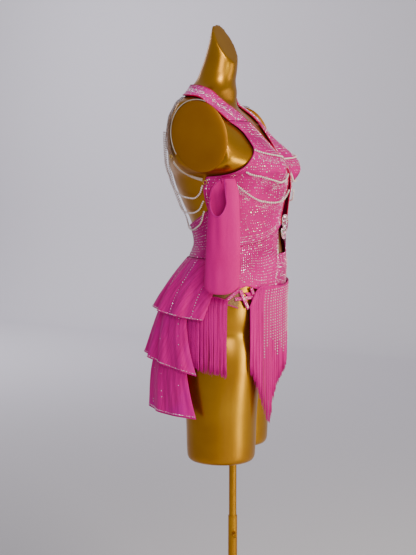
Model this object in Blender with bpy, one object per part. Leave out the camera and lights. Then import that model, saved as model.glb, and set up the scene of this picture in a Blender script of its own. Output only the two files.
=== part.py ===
"""A rumba dance dress worn by a limbless dress form on a telescopic stand.

Lengths are in millimetres until a mesh is made, then metres. +Z is up, the form faces -Y,
and its right side is at -X. Angles run round the body in degrees: 0 is the front, 90 the
left side, 180 the back and -90 the right side. Every cloth piece is a sheet laid out on
the form's surface or hung from it, then given its wall by a Solidify modifier.
"""

import math

import bpy
import numpy as np

MM = 0.001
RIGHT, LEFT = -1, 1
SIDES = (("right", RIGHT), ("left", LEFT))

# Driving sizes of the form, in mm above the floor.
HIP_Z = 900.0
WAIST_Z = 1050.0
BUST_Z = 1215.0
THIGH_END_Z = 560.0
ARM_PLANE_X = 178.0

# Cloth layers: the gap from the form to the sheet's inner face, and the wall's thickness.
BASE_GAP, BASE_WALL = 3.0, 1.4
BAND_GAP, BAND_WALL = 3.0, 2.0
MESH_WALL = 1.0
FRINGE_GAP, SIDE_FRINGE_GAP, FRINGE_WALL = 8.4, 6.9, 2.6
TIER_WALL = 1.2
STRAP_WIDTH, STRAP_WALL = 8.0, 1.4
SEAM = 0.5
PEARL_RADIUS = 2.2

# The form's level sections: height, half width, how far the front and the back stand from
# the stand's axis, and how square the section is (2 is an ellipse).
FORM_ROWS = (
    # z, half_width, front, back, squareness
    (790.0, 30.0, 30.0, 40.0, 2.0),
    (797.0, 62.0, 62.0, 72.0, 2.0),
    (812.0, 104.0, 84.0, 98.0, 2.1),
    (835.0, 140.0, 97.0, 115.0, 2.2),
    (870.0, 162.0, 103.0, 126.0, 2.3),
    (HIP_Z, 167.0, 106.0, 127.0, 2.3),
    (940.0, 164.0, 109.0, 121.0, 2.3),
    (985.0, 151.0, 114.0, 106.0, 2.2),
    (1020.0, 132.0, 112.0, 92.0, 2.1),
    (WAIST_Z, 120.0, 108.0, 84.0, 2.0),
    (1090.0, 121.0, 104.0, 92.0, 2.0),
    (1140.0, 130.0, 105.0, 112.0, 2.1),
    (1190.0, 144.0, 108.0, 130.0, 2.2),
    (1205.0, 152.0, 109.0, 133.0, 2.2),
    (1216.0, 173.0, 108.0, 135.0, 2.2),
    (1235.0, 194.0, 104.0, 136.0, 2.2),
    (1286.0, 205.0, 71.0, 134.0, 2.2),
    (1330.0, 200.0, 35.0, 125.0, 2.2),
    (1350.0, 190.0, 10.0, 114.0, 2.1),
    (1362.0, 178.0, -8.0, 106.0, 2.1),
    (1372.0, 150.0, -11.0, 101.0, 2.0),
    (1382.0, 118.0, -10.0, 99.0, 2.0),
    (1392.0, 88.0, -5.0, 98.0, 2.0),
    (1402.0, 66.0, 0.0, 96.0, 2.0),
    (1418.0, 51.0, 3.0, 86.0, 2.0),
    (1440.0, 43.0, 7.0, 77.0, 2.0),
    (1464.0, 40.0, 9.0, 68.0, 2.0),
    (1510.0, 36.0, 10.0, 55.0, 2.0),
    (1580.0, 32.0, 9.0, 42.0, 2.0),
)
# Bust of a general dress form: two rounded swells, shorter below the apex than above it.
BUST_X, BUST_RISE, BUST_WIDTH, BUST_ABOVE, BUST_BELOW = 78.0, 37.0, 46.0, 53.0, 40.0
# The root of the neck stands out in front between the shoulders: by how much at each height.
NECK_ROOT_Z = (1330.0, 1350.0, 1362.0, 1380.0, 1392.0, 1402.0, 1418.0)
NECK_ROOT_RISE = (0.0, 3.0, 15.0, 17.0, 12.0, 5.0, 0.0)
NECK_ROOT_WIDTH = 36.0
# The slanting cut at the top of the neck is the plane z = rise + slope_y * y + slope_x * x.
NECK_CUT_RISE, NECK_CUT_SLOPE_Y, NECK_CUT_SLOPE_X = 1474.0, 1.5, 0.52
# Arm plates: flat ovals on the form's arm planes.
PLATE_Y, PLATE_Z, PLATE_HALF_DEPTH, PLATE_HALF_HEIGHT = 25.0, 1288.0, 62.0, 78.0
PLATE_LEAN_DEG, PLATE_WALL = 16.0, 2.5
# Thighs: height, centre from the middle, half width, half depth. The left one stands back.
THIGH_ROWS = (
    # z, centre_x, half_width, half_depth
    (THIGH_END_Z, 90.0, 62.0, 66.0),
    (THIGH_END_Z + 3.0, 90.0, 69.0, 73.0),
    (THIGH_END_Z + 11.0, 90.0, 73.0, 77.0),
    (650.0, 90.0, 74.0, 80.0),
    (740.0, 89.0, 76.0, 86.0),
    (800.0, 87.0, 76.0, 90.0),
    (840.0, 84.0, 74.0, 84.0),
    (870.0, 82.0, 64.0, 68.0),
    (900.0, 80.0, 44.0, 46.0),
)
THIGH_BACK = {RIGHT: 2.0, LEFT: 20.0}

# Stand: a plate, a lower tube, and an upper tube that slides in it and holds the form.
BASE_RADIUS, BASE_HEIGHT = 160.0, 9.0
LOWER_RADIUS, LOWER_BORE, LOWER_TOP = 10.7, 9.4, 405.0
UPPER_RADIUS, UPPER_BOTTOM, UPPER_TOP = 8.9, 235.0, 915.0
SOCKET_RADIUS, SOCKET_TOP = 9.9, 925.0
SCREW_Z, SCREW_AZIMUTH = 362.0, -58.0

# Bodice outline. The armhole and side edge of each front, as the angle at each height.
ARMHOLE_Z = (1040.0, 1130.0, 1203.0, 1206.0, 1212.0, 1218.0, 1229.0, 1240.0, 1252.0, 1265.0,
             1293.0, 1304.0, 1320.0)
ARMHOLE_ANGLE = (100.0, 99.0, 91.0, 80.0, 67.0, 58.0, 48.5, 42.7, 37.6, 34.0,
                 31.6, 33.5, 40.4)
# The neckline's edge above the join at the centre front, and the keyhole's half width.
NECK_Z = (1255.0, 1280.0, 1308.0, 1320.0)
NECK_HALF = (1.0, 20.0, 35.0, 41.0)
KEYHOLE_Z = (1027.0, 1050.0, 1100.0, 1142.0, 1188.0, 1215.0, 1232.0)
KEYHOLE_HALF = (33.0, 35.0, 30.0, 22.0, 11.0, 6.0, 0.4)
# Where the wrap of the upper front ends over the lower front, as the height at each angle.
WRAP_ANGLE = (15.0, 28.0, 48.0, 69.0, 100.0)
WRAP_Z = (1094.0, 1071.0, 1055.0, 1049.0, 1040.0)
# The lower edge of the lower front, and of the net at the hip.
HIP_EDGE_ANGLE = (0.0, 40.0, 55.0, 62.0, 80.0, 100.0)
HIP_EDGE_Z = (950.0, 954.0, 962.0, 958.0, 950.0, 946.0)
NET_HEM_ANGLE = (44.0, 50.0, 76.0, 98.0)
NET_HEM_Z = (902.0, 906.0, 924.0, 930.0)
# How far the front cloth, held out between the cups and the hips, stands from the axis.
TENT_Z = (950.0, 1000.0, 1050.0, 1114.0, 1142.0, 1188.0, 1211.0, 1231.0, 1255.0, 1290.0,
          1319.0)
TENT_FRONT = (108.0, 119.0, 117.0, 121.0, 124.0, 130.0, 127.0, 111.0, 92.0, 62.0, 38.0)
TENT_HALF, TENT_FADE = 116.0, 66.0

# The upper fronts' rows are level down to the bust, and reach down to the wrap below it.
FRONT_HANG, FRONT_END = 1206.0, 1094.0

# Neckband: angle and height of its edge at the neck, and of its edge at the shoulder.
BAND_ROWS = (
    # neck_angle, neck_z, arm_angle, arm_z
    (11.5, 1321.0, 40.8, 1321.0),
    (12.5, 1344.0, 46.5, 1343.0),
    (15.0, 1361.0, 50.5, 1359.0),
    (29.0, 1374.0, 63.0, 1369.0),
    (48.0, 1384.0, 79.0, 1373.0),
    (73.0, 1392.0, 97.0, 1374.0),
    (103.0, 1399.0, 118.0, 1376.0),
    (138.0, 1403.0, 146.0, 1380.0),
    (180.0, 1405.0, 180.0, 1384.0),
)
# Back: the net yoke under the neckband, and the low back below the open part.
YOKE_ANGLE = (124.0, 136.0, 150.0, 180.0)
YOKE_LOW_Z = (1240.0, 1262.0, 1286.0, 1298.0)
BACK_ANGLE = (101.0, 114.0, 142.0, 180.0)
BACK_TOP_Z = (1126.0, 1113.0, 1095.0, 1084.0)
BACK_LOW_Z = 1018.0

# Tiers of the back skirt: the angle of the front edges at top and hem, how much lower the
# sides of the hem hang, and the flutes' number and depth.
TIERS = (
    # name, top_angle, hem_angle, drop, flutes, flute_depth
    ("ruffle_tier_1", 86.0, 91.5, 15.0, 8, 7.0),
    ("ruffle_tier_2", 109.0, 95.5, 31.0, 9, 7.0),
    ("ruffle_tier_3", 109.0, 96.5, 4.0, 7, 5.0),
)
TIER_SHAPES = (
    # rows of: z, half_width, depth
    ((1016, 140.5, 99.0), (985, 159.5, 122), (950, 173, 146), (930, 180, 158), (903, 186, 171)),
    ((985, 156.4, 113), (950, 170.0, 134), (903, 178, 158), (850, 181, 178), (797, 183, 194)),
    ((945, 168.6, 125), (900, 173, 140), (850, 176, 157), (797, 177, 172), (740, 178, 182),
     (673, 178.5, 185)),
)

# Fringe round the front: its end's height at each angle, longest over the right thigh.
FRONT_FRINGE_ANGLE = (-50.0, -45.0, -40.0, -34.0, -25.0, -19.0, -8.0, 3.0, 16.0, 32.0, 50.0)
FRONT_FRINGE_END = (772.0, 756.0, 729.0, 694.0, 650.0, 700.0, 738.0, 752.0, 770.0, 790.0, 800.0)
FRINGE_TOP_ANGLE = (0.0, 38.0, 43.0, 50.0)
FRINGE_TOP_Z = (957.0, 962.0, 956.0, 916.0)
SIDE_FRINGE_ANGLE = (73.0, 86.0, 103.0, 107.0, 110.0, 117.0)
SIDE_FRINGE_TOP = (933.0, 940.0, 940.0, 915.0, 872.0, 860.0)
SIDE_FRINGE_END = (763.0, 770.0, 780.0, 782.0, 784.0, 790.0)

# Crossing straps over the hip's net: start and end angle and height, and which layer.
HIP_STRAPS = (
    # from_angle, from_z, to_angle, to_z, layer
    (76.0, 929.0, 63.0, 955.0, 0),
    (62.0, 954.0, 50.5, 913.0, 1),
    (66.0, 935.0, 45.0, 938.0, 0),
    (50.5, 958.0, 46.5, 944.0, 1),
)

# Sleeves, hung from the underarm: a flat tube open at both ends.
SLEEVE_TOP, SLEEVE_HEM = 1196.0, 951.0
SLEEVE_HALF_WIDTH, SLEEVE_HALF_DEPTH = 36.0, 15.0
SLEEVE_Y = -29.0
# The mouth is an oval over the rear two thirds of the sleeve: the outer face ends at its
# lower half, the inner face at its upper half, and the front strip leans over it.
MOUTH_Z, MOUTH_LOW, MOUTH_MIDDLE, MOUTH_HALF, STRIP_LEAN = 1160.0, 44.0, 0.31, 0.71, 7.0

# Pearl strings of the open back and beaded swags of the bust: angle and height of points.
BACK_STRINGS = (
    ((152, 1300), (156, 1262), (158, 1225), (153, 1193), (140, 1171), (124, 1159), (112, 1156),
     (102, 1166), (96, 1186)),
    ((160, 1300), (163, 1240), (163, 1180), (158, 1140), (142, 1125), (124, 1123), (110, 1130),
     (100, 1150)),
    ((168, 1300), (170, 1230), (170, 1160), (167, 1110), (154, 1088), (138, 1082), (118, 1095),
     (104, 1126)),
)
STRING_GAP = (9.5, 9.0, 8.5)
SWAG_GAP = (9.6, 10.0, 14.0)
BUST_SWAGS = (
    ((37, 1256), (31, 1248), (23, 1242), (13, 1238), (4, 1237)),
    ((54, 1216), (46, 1204), (36, 1197), (25, 1193), (14, 1195), (5, 1206)),
    ((68, 1188), (57, 1168), (43, 1152), (29, 1146), (17, 1152), (7, 1174)),
)


def smooth(x, at, values):
    """A curve through the table's points that never overshoots them, flat past its ends."""
    at, values = np.asarray(at, float), np.asarray(values, float)
    step = np.diff(at)
    slope = np.diff(values) / step
    tangent = np.concatenate([slope[:1], np.zeros(len(at) - 2), slope[-1:]])
    for i in range(1, len(at) - 1):
        if slope[i - 1] * slope[i] > 0:
            before, after = 2 * step[i] + step[i - 1], step[i] + 2 * step[i - 1]
            tangent[i] = (before + after) / (before / slope[i - 1] + after / slope[i])
    x = np.clip(x, at[0], at[-1])
    i = np.clip(np.searchsorted(at, x) - 1, 0, len(at) - 2)
    t = (x - at[i]) / step[i]
    ends = values[i] * (1 + 2 * t) * (1 - t) ** 2 + values[i + 1] * t ** 2 * (3 - 2 * t)
    return ends + step[i] * (tangent[i] * t * (1 - t) ** 2 - tangent[i + 1] * t ** 2 * (1 - t))


def form_section(z):
    """Half width, front, back and squareness of the form at a height."""
    table = np.array(FORM_ROWS)
    return [smooth(z, table[:, 0], table[:, k]) for k in range(1, 5)]


def form_point(angle, z):
    """Points of the form's surface, flat past its arm planes."""
    angle, z = np.broadcast_arrays(np.asarray(angle, float), np.asarray(z, float))
    half_width, front, back, square = form_section(z)
    s, c = np.sin(np.radians(angle)), np.cos(np.radians(angle))
    x = half_width * np.sign(s) * np.abs(s) ** (2 / square)
    y = (back - front) / 2 - (back + front) / 2 * np.sign(c) * np.abs(c) ** (2 / square)
    height = (z - BUST_Z) / np.where(z > BUST_Z, BUST_ABOVE, BUST_BELOW)
    swell = sum(np.exp(-((x - side * BUST_X) / BUST_WIDTH) ** 2) for _, side in SIDES)
    y = y - BUST_RISE * swell * np.exp(-height ** 2) * np.clip(3 * c, 0, 1)
    root = smooth(z, NECK_ROOT_Z, NECK_ROOT_RISE) * np.exp(-(x / NECK_ROOT_WIDTH) ** 2)
    y = y - root * np.clip(3 * c, 0, 1)
    return np.stack([np.clip(x, -ARM_PLANE_X, ARM_PLANE_X), y, z], axis=-1)


def on_form(angle, z, out):
    """Points that far out from the form's surface, along its normal."""
    around = form_point(angle + 0.5, z) - form_point(angle - 0.5, z)
    up = form_point(angle, z + 1.0) - form_point(angle, z - 1.0)
    normal = np.cross(around, up)
    normal /= np.linalg.norm(normal, axis=-1, keepdims=True)
    return form_point(angle, z) + np.asarray(out, float)[..., None] * normal


def on_front(angle, z, out):
    """As on_form, but the cloth also bridges the hollow between the cups and the waist."""
    points = on_form(angle, z, out)
    _, front, back, square = form_section(z)
    c = np.cos(np.radians(angle))
    plain = (back - front) / 2 - (back + front) / 2 * np.abs(c) ** (2 / square)
    share = np.clip((TENT_HALF - np.abs(points[..., 0])) / TENT_FADE, 0, 1)
    held = np.clip(smooth(z, TENT_Z, TENT_FRONT) - front, 0, None) * share ** 2 * (3 - 2 * share)
    tent = plain - held - (np.asarray(out, float) - BASE_GAP) * np.abs(c)
    points[..., 1] = np.where(c > 0, np.minimum(points[..., 1], tent), points[..., 1])
    return points


def edge_angle(z, half):
    """The angle at which the form's surface is that far from the middle of the front."""
    half_width, _, _, square = form_section(z)
    return np.degrees(np.arcsin(np.clip(half / half_width, 0, 1) ** (square / 2)))


def through(angle, z, count):
    """A smooth run along the form through these points, as count angles and heights."""
    knots = form_point(angle, z)
    t = np.linspace(0, len(knots) - 1, count)
    x, y, z = [smooth(t, np.arange(len(knots)), knots[:, k]) for k in range(3)]
    half_width, front, back, square = form_section(z)
    s = np.sign(x) * np.abs(x / half_width) ** (square / 2)
    c = (y - (back - front) / 2) / ((back + front) / 2)
    turn = np.degrees(np.arctan2(s, -np.sign(c) * np.abs(c) ** (square / 2)))
    return turn % 360.0, z


def material(name, colour, roughness, metallic=0.0):
    made = bpy.data.materials.new(name)
    made.use_nodes = True
    shader = made.node_tree.nodes["Principled BSDF"]
    shader.inputs["Base Color"].default_value = (*colour, 1.0)
    shader.inputs["Roughness"].default_value = roughness
    shader.inputs["Metallic"].default_value = metallic
    return made


def add_object(name, points, faces, finish):
    """An object whose mesh has these points, given in mm."""
    mesh = bpy.data.meshes.new(name)
    mesh.from_pydata((np.reshape(points, (-1, 3)) * MM).tolist(), [], faces)
    mesh.validate()
    mesh.shade_smooth()
    mesh.materials.append(finish)
    made = bpy.data.objects.new(name, mesh)
    bpy.context.scene.collection.objects.link(made)
    return made


def grid_faces(rows, columns, closed=False, turned=False):
    """Quads between neighbouring rows and columns; closed joins the last column to the first."""
    faces = []
    for r in range(rows - 1):
        for c in range(columns if closed else columns - 1):
            n = (c + 1) % columns
            face = (r * columns + c, r * columns + n, (r + 1) * columns + n, (r + 1) * columns + c)
            faces.append(face[::-1] if turned else face)
    return faces


def sheet_normals(points, closed, middle):
    """Unit normals of a sheet at its grid points, on the side away from middle."""
    if closed:
        across = np.roll(points, -1, axis=1) - np.roll(points, 1, axis=1)
    else:
        across = np.gradient(points, axis=1)
    normal = np.cross(across, np.gradient(points, axis=0))
    normal /= np.linalg.norm(normal, axis=-1, keepdims=True)
    away = (normal[..., :2] * (points[..., :2] - np.array(middle))).sum()
    return normal if away > 0 else -normal


def cloth(name, points, wall, finish, closed=False, middle=(0.0, 10.0)):
    """A sheet of cloth: these points, and the same moved out by the wall, with edges closed."""
    rows, columns = points.shape[:2]
    normal = sheet_normals(points, closed, middle)
    count = rows * columns
    turn = np.cross(points[0, 1] - points[0, 0], points[1, 0] - points[0, 0])
    turned = (turn * normal[0, 0]).sum() < 0
    outer = grid_faces(rows, columns, closed, turned)
    faces = [tuple(count + k for k in face) for face in outer] + [face[::-1] for face in outer]
    rims = [[(0, c) for c in range(columns)], [(rows - 1, c) for c in range(columns)][::-1]]
    if closed:
        rims = [rim + rim[:1] for rim in rims]
    else:
        rims[0] = rims[0] + [(r, columns - 1) for r in range(1, rows)]
        rims[0] = rims[0] + rims[1][1:] + [(r, 0) for r in range(rows - 2, -1, -1)]
        rims = rims[:1]
    for rim in rims:
        at = [r * columns + c for r, c in rim]
        for a, b in zip(at[:-1], at[1:]):
            face = (a, b, b + count, a + count)
            faces.append(face[::-1] if turned else face)
    both = np.concatenate([points.reshape(-1, 3), (points + wall * normal).reshape(-1, 3)])
    return add_object(name, both, faces, finish)


def loft(name, rings, finish):
    """A closed solid through level rings, lowest first, with flat ends."""
    rows, columns = rings.shape[:2]
    faces = grid_faces(rows, columns, closed=True)
    faces.append(tuple(range(columns))[::-1])
    faces.append(tuple(range((rows - 1) * columns, rows * columns)))
    return add_object(name, rings, faces, finish)


def boolean(target, operation, other):
    """Cuts target by, or joins it with, another object, which is then only a helper."""
    change = target.modifiers.new(operation.lower(), "BOOLEAN")
    change.operation = operation
    change.object = other
    other.hide_render = True
    other.display_type = "WIRE"


def cylinder(name, radius, low, high, finish, sides=24, x=0.0, y=0.0):
    turn = np.arange(sides) * 2 * math.pi / sides
    ring = np.stack([x + radius * np.cos(turn), y + radius * np.sin(turn)], axis=-1)
    rings = [np.column_stack([ring, np.full(sides, z)]) for z in (low, high)]
    return loft(name, np.array(rings), finish)


def pearl_string(name, points, radius, finish):
    """A thin round tube through these points, in mm."""
    points = np.array(points, float)
    curve = bpy.data.curves.new(name, "CURVE")
    curve.dimensions = "3D"
    curve.bevel_depth = radius * MM
    curve.bevel_resolution = 1
    curve.use_fill_caps = True
    spline = curve.splines.new("POLY")
    spline.points.add(len(points) - 1)
    for knot, place in zip(spline.points, points * MM):
        knot.co = (*place, 1.0)
    curve.materials.append(finish)
    made = bpy.data.objects.new(name, curve)
    bpy.context.scene.collection.objects.link(made)
    return made


def along(points, count):
    """The table's (angle, height) points as a smooth run of count points."""
    table = np.array(points, float)
    at = np.arange(len(table))
    t = np.linspace(0, len(table) - 1, count)
    return smooth(t, at, table[:, 0]), smooth(t, at, table[:, 1])


def make_form(gold):
    """Torso, neck and thighs in one solid, cut off slanting at the neck, with the mast's socket."""
    levels = np.array([790, 797, 812, 835, 870, 900, 940, 985, 1020, 1050, 1090, 1140, 1165, 1190,
                       1205, 1216, 1235, 1260, 1286, 1310, 1330, 1350, 1362, 1372, 1382, 1392,
                       1402, 1418, 1445, 1480, 1578.0])
    turn = np.arange(32) * 11.25
    form = loft("form_body", form_point(turn[None, :], levels[:, None]), gold)
    thigh = np.array(THIGH_ROWS)
    heights = np.array([560, 563, 571, 650, 740, 800, 840, 870, 900.0])
    for label, side in SIDES:
        centre, half_width, half_depth = [smooth(heights, thigh[:, 0], thigh[:, k])[:, None]
                                          for k in (1, 2, 3)]
        angle = np.radians(np.arange(20) * 18.0)[None, :]
        x = side * centre + half_width * np.sin(angle)
        back = THIGH_BACK[side] * np.clip((900.0 - heights[:, None]) / 100.0, 0, 1)
        y = back - half_depth * np.cos(angle)
        rings = np.stack(np.broadcast_arrays(x, y, heights[:, None]), axis=-1)
        boolean(form, "UNION", loft("thigh_" + label, rings, gold))
    wide = 120.0
    corners = np.array([(-wide, -wide), (wide, -wide), (wide, wide), (-wide, wide)])
    lift = NECK_CUT_RISE + NECK_CUT_SLOPE_Y * corners[:, 1] + NECK_CUT_SLOPE_X * corners[:, 0]
    slab = np.array([np.column_stack([corners, lift]), np.column_stack([corners, lift + 500.0])])
    boolean(form, "DIFFERENCE", loft("neck_cutter", slab, gold))
    boolean(form, "DIFFERENCE", cylinder("socket_cutter", SOCKET_RADIUS, 700.0, SOCKET_TOP, gold))


def make_arm_plates(gold):
    """A thin oval plate on each arm plane, with its outer rim rounded over."""
    turn = np.radians(np.arange(28) * 360.0 / 28)
    lean = math.radians(PLATE_LEAN_DEG)
    for label, side in SIDES:
        rings = []
        for out, inset in ((0.4, 0.0), (0.4 + PLATE_WALL * 0.6, 0.0), (0.4 + PLATE_WALL, 1.2)):
            deep = (PLATE_HALF_DEPTH - inset) * np.cos(turn)
            tall = (PLATE_HALF_HEIGHT - inset) * np.sin(turn)
            y = PLATE_Y + deep * math.cos(lean) + tall * math.sin(lean)
            z = PLATE_Z - deep * math.sin(lean) + tall * math.cos(lean)
            rings.append(np.stack([np.full(28, side * (ARM_PLANE_X + out)), y, z], axis=-1))
        rings = np.array(rings)
        loft("arm_plate_" + label, rings if side == LEFT else rings[:, ::-1], gold)


def make_stand(gold):
    """Base plate, lower tube with its clamp boss and screw, and the sliding upper tube."""
    base = cylinder("base_plate", BASE_RADIUS, 0.0, BASE_HEIGHT, gold, sides=36)
    rim = base.modifiers.new("rim", "BEVEL")
    rim.width, rim.segments, rim.limit_method = 3.0 * MM, 1, "ANGLE"
    lower = cylinder("pole_lower", LOWER_RADIUS, BASE_HEIGHT + SEAM, LOWER_TOP, gold)
    boolean(lower, "DIFFERENCE", cylinder("bore_cutter", LOWER_BORE, 40.0, LOWER_TOP + 20, gold))
    cylinder("base_socket", 22.0, BASE_HEIGHT + 0.3, 34.0, gold)
    socket = bpy.data.objects["base_socket"]
    boolean(socket, "DIFFERENCE", cylinder("socket_bore", LOWER_RADIUS + 0.4, 0.0, 60.0, gold))
    upper = cylinder("pole_upper", UPPER_RADIUS, UPPER_BOTTOM, UPPER_TOP, gold)
    boolean(upper, "DIFFERENCE", cylinder("tube_cutter", UPPER_RADIUS - 1.6, 200.0, 895.0, gold))
    facing = math.radians(SCREW_AZIMUTH)
    screw = cylinder("clamp_screw", 4.5, LOWER_RADIUS + 4.4, LOWER_RADIUS + 12.0, gold, sides=12)
    boss = cylinder("clamp_boss", 6.0, LOWER_RADIUS + 0.3, LOWER_RADIUS + 4.0, gold, sides=12)
    for piece in (screw, boss):
        piece.rotation_euler = (math.pi / 2, 0.0, facing)
        piece.location = (0.0, 0.0, SCREW_Z * MM)


def make_neckband(pink):
    """One wide band from the right front, over the shoulder and round the nape to the left."""
    half = np.array(BAND_ROWS)
    other = half[-2::-1].copy()
    other[:, (0, 2)] = 360.0 - other[:, (0, 2)]
    table = np.concatenate([half, other])
    neck_angle, neck_z = through(table[:, 0], table[:, 1], 33)
    arm_angle, arm_z = through(table[:, 2], table[:, 3], 33)
    u = np.linspace(0, 1, 5)[:, None]
    angle = neck_angle + (arm_angle - neck_angle) * u
    z = neck_z + (arm_z - neck_z) * u
    cloth("neckband", on_form(angle, z, np.full(z.shape, BAND_GAP)), BAND_WALL, pink,
          middle=(0.0, 45.0))


def make_fronts(pink):
    """Upper fronts, cut from the armhole to the neckline and keyhole, ending at the wrap."""
    level = np.array([1319.5, 1300, 1280, 1262, 1248, 1235, 1222, 1212, 1204, 1190, 1172, 1152,
                      1132, 1112, FRONT_END])[:, None]
    u = np.linspace(0, 1, 12)[None, :]
    low = FRONT_END
    for _ in range(4):
        stretch = (FRONT_HANG - low) / (FRONT_HANG - FRONT_END)
        z = np.where(level < FRONT_HANG, FRONT_HANG + (level - FRONT_HANG) * stretch, level)
        half = np.where(z > 1240, smooth(z, NECK_Z, NECK_HALF), smooth(z, KEYHOLE_Z, KEYHOLE_HALF))
        inner = edge_angle(z, half)
        angle = inner + (smooth(z, ARMHOLE_Z, ARMHOLE_ANGLE) - inner) * u
        low = smooth(angle[-1:], WRAP_ANGLE, WRAP_Z) + SEAM
    for label, side in SIDES:
        cloth("bodice_front_" + label, on_front(side * angle, z, np.full(z.shape, BASE_GAP)),
              BASE_WALL, pink)


def make_lower_front(pink):
    """The lower front, from side to side below the wrap, notched for the keyhole."""
    keyhole = edge_angle(1060.0, 34.0)
    half = np.array([0.0, 8.0, keyhole - 0.8, keyhole + 0.2, 24, 32, 41, 50, 60, 70, 80, 90, 100])
    angle = np.concatenate([-half[:0:-1], half])
    top = smooth(np.abs(angle), WRAP_ANGLE, WRAP_Z) - SEAM - 4.5
    top = np.where(np.abs(angle) < keyhole, KEYHOLE_Z[0], top)
    low = smooth(np.abs(angle), HIP_EDGE_ANGLE, HIP_EDGE_Z)
    v = np.linspace(0, 1, 6)[:, None]
    z = top + (low - top) * v
    angle = np.broadcast_to(angle, z.shape)
    cloth("lower_front", on_front(angle, z, np.full(z.shape, BASE_GAP)), BASE_WALL, pink)


def make_back(pink, net):
    """The low back with its V top, and the net yoke between neckband and open back."""
    angle = np.array([100.6, 107, 114, 123, 132, 142, 155, 168])
    angle = np.concatenate([angle, [180.0], 360.0 - angle[::-1]])
    fold = 180.0 - np.abs(180.0 - angle)
    top = smooth(fold, BACK_ANGLE, BACK_TOP_Z)
    v = np.linspace(0, 1, 6)[:, None]
    z = top + (BACK_LOW_Z - top) * v
    angle = np.broadcast_to(angle, z.shape)
    cloth("back_panel", on_form(angle, z, np.full(z.shape, BASE_GAP)), BASE_WALL, pink)
    angle = np.linspace(124.0, 236.0, 15)
    fold = 180.0 - np.abs(180.0 - angle)
    low = smooth(fold, YOKE_ANGLE, YOKE_LOW_Z)
    table = np.array(BAND_ROWS)
    high = smooth(fold, table[4:, 2], table[4:, 3]) - 3.5
    v = np.linspace(0, 1, 9)[:, None] ** 1.5
    z = high + (low - high) * v
    angle = np.broadcast_to(angle, z.shape)
    cloth("back_yoke", on_form(angle, z, np.full(z.shape, BASE_GAP)), MESH_WALL, net)


def ring(name, centre, outward, radius, wire, finish, flat=1.0):
    """A wire ring lying in the plane square to outward."""
    outward = np.array(outward, float) / np.linalg.norm(outward)
    first = np.cross(outward, (0.0, 0.0, 1.0))
    first /= np.linalg.norm(first)
    second = np.cross(first, outward)
    around, tube = np.meshgrid(np.arange(12) * 30.0, np.arange(4) * 90.0, indexing="ij")
    around, tube = np.radians(around), np.radians(tube)
    far = radius + wire * np.cos(tube)
    points = (np.array(centre) + (far * np.cos(around))[..., None] * first
              + (flat * far * np.sin(around))[..., None] * second
              + (wire * np.sin(tube))[..., None] * outward)
    faces = []
    for a in range(12):
        for b in range(4):
            faces.append((a * 4 + b, a * 4 + (b + 1) % 4, (a + 1) % 12 * 4 + (b + 1) % 4,
                          (a + 1) % 12 * 4 + b))
    return add_object(name, points, faces, finish)


def strip(name, angle, z, width, out, wall, finish, surface=on_form):
    """A flat strap of even width whose middle runs through these angles and heights."""
    middle = surface(angle, z, np.full(len(z), out))
    lifted = surface(angle, z, np.full(len(z), out + 1.0))
    heading = np.gradient(middle, axis=0)
    across = np.cross(heading, lifted - middle)
    across /= np.linalg.norm(across, axis=1, keepdims=True)
    points = np.array([middle + across * width * u for u in (-0.5, 0.0, 0.5)])
    return cloth(name, points, wall, finish)


def make_straps(pink, clear, metal):
    """The clear underarm strap with its ring and slider, and the crossing straps at the hip."""
    for label, side in SIDES:
        angle, z = along(((96.0, 1196.0), (108, 1205), (118, 1222), (122.5, 1236)), 8)
        strip("underarm_strap_" + label, side * angle, z, 7.0, 4.2, MESH_WALL, clear)
        for kind, at, radius in (("ring", (93.5, 1192.0), 4.4), ("slider", (123.0, 1247.0), 4.8)):
            centre = on_form(side * at[0], at[1], 7.6)
            outward = centre - on_form(side * at[0], at[1], 0.0)
            ring(f"strap_{kind}_{label}", centre, outward, radius, 1.1, metal)
        for number, row in enumerate(HIP_STRAPS, 1):
            t = np.linspace(0, 1, 5)
            angle = row[0] + (row[2] - row[0]) * t
            z = row[1] + (row[3] - row[1]) * t
            out = BASE_GAP + MESH_WALL + 0.6 + row[4] * (STRAP_WALL + 0.4)
            strip(f"hip_strap_{number}_{label}", side * angle, z, STRAP_WIDTH, out, STRAP_WALL,
                  pink)


def make_brief(pink, net):
    """Front and back of the brief, narrowing to the crotch, and the net over each hip."""
    v = np.linspace(0, 1, 8)
    front_z = 949.0 - SEAM + (806.0 - 949.0) * v
    half = smooth(front_z, (806.0, 830.0, 880.0, 949.0), (15.0, 34.0, 82.0, 140.0))
    u = np.linspace(-1, 1, 13)
    angle = u * edge_angle(front_z, half)[:, None]
    z = np.broadcast_to(front_z[:, None], angle.shape)
    cloth("brief_front", on_form(angle, z, np.full(z.shape, BASE_GAP)), BASE_WALL, pink)
    v = np.linspace(0, 1, 11)
    back_z = BACK_LOW_Z - 1.0 + (806.0 - BACK_LOW_Z) * v
    half = smooth(back_z, (806.0, 830.0, 880.0, 945.0, 1017.0), (15.0, 46.0, 116.0, 163.0, 130.0))
    reach = np.minimum(edge_angle(back_z, half), 78.0)
    u = np.linspace(-1, 1, 17)
    angle = 180.0 + u * reach[:, None]
    z = np.broadcast_to(back_z[:, None], angle.shape)
    cloth("brief_back", on_form(angle, z, np.full(z.shape, BASE_GAP)), BASE_WALL, pink)
    for label, side in SIDES:
        angle = np.linspace(61.0, 100.0, 7)
        top = smooth(angle, HIP_EDGE_ANGLE, HIP_EDGE_Z) - SEAM
        low = smooth(angle, NET_HEM_ANGLE, NET_HEM_Z)
        v = np.linspace(0, 1, 4)[:, None]
        z = top + (low - top) * v
        angle = np.broadcast_to(side * angle, z.shape)
        cloth("hip_net_" + label, on_form(angle, z, np.full(z.shape, BASE_GAP)), MESH_WALL, net)


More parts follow.
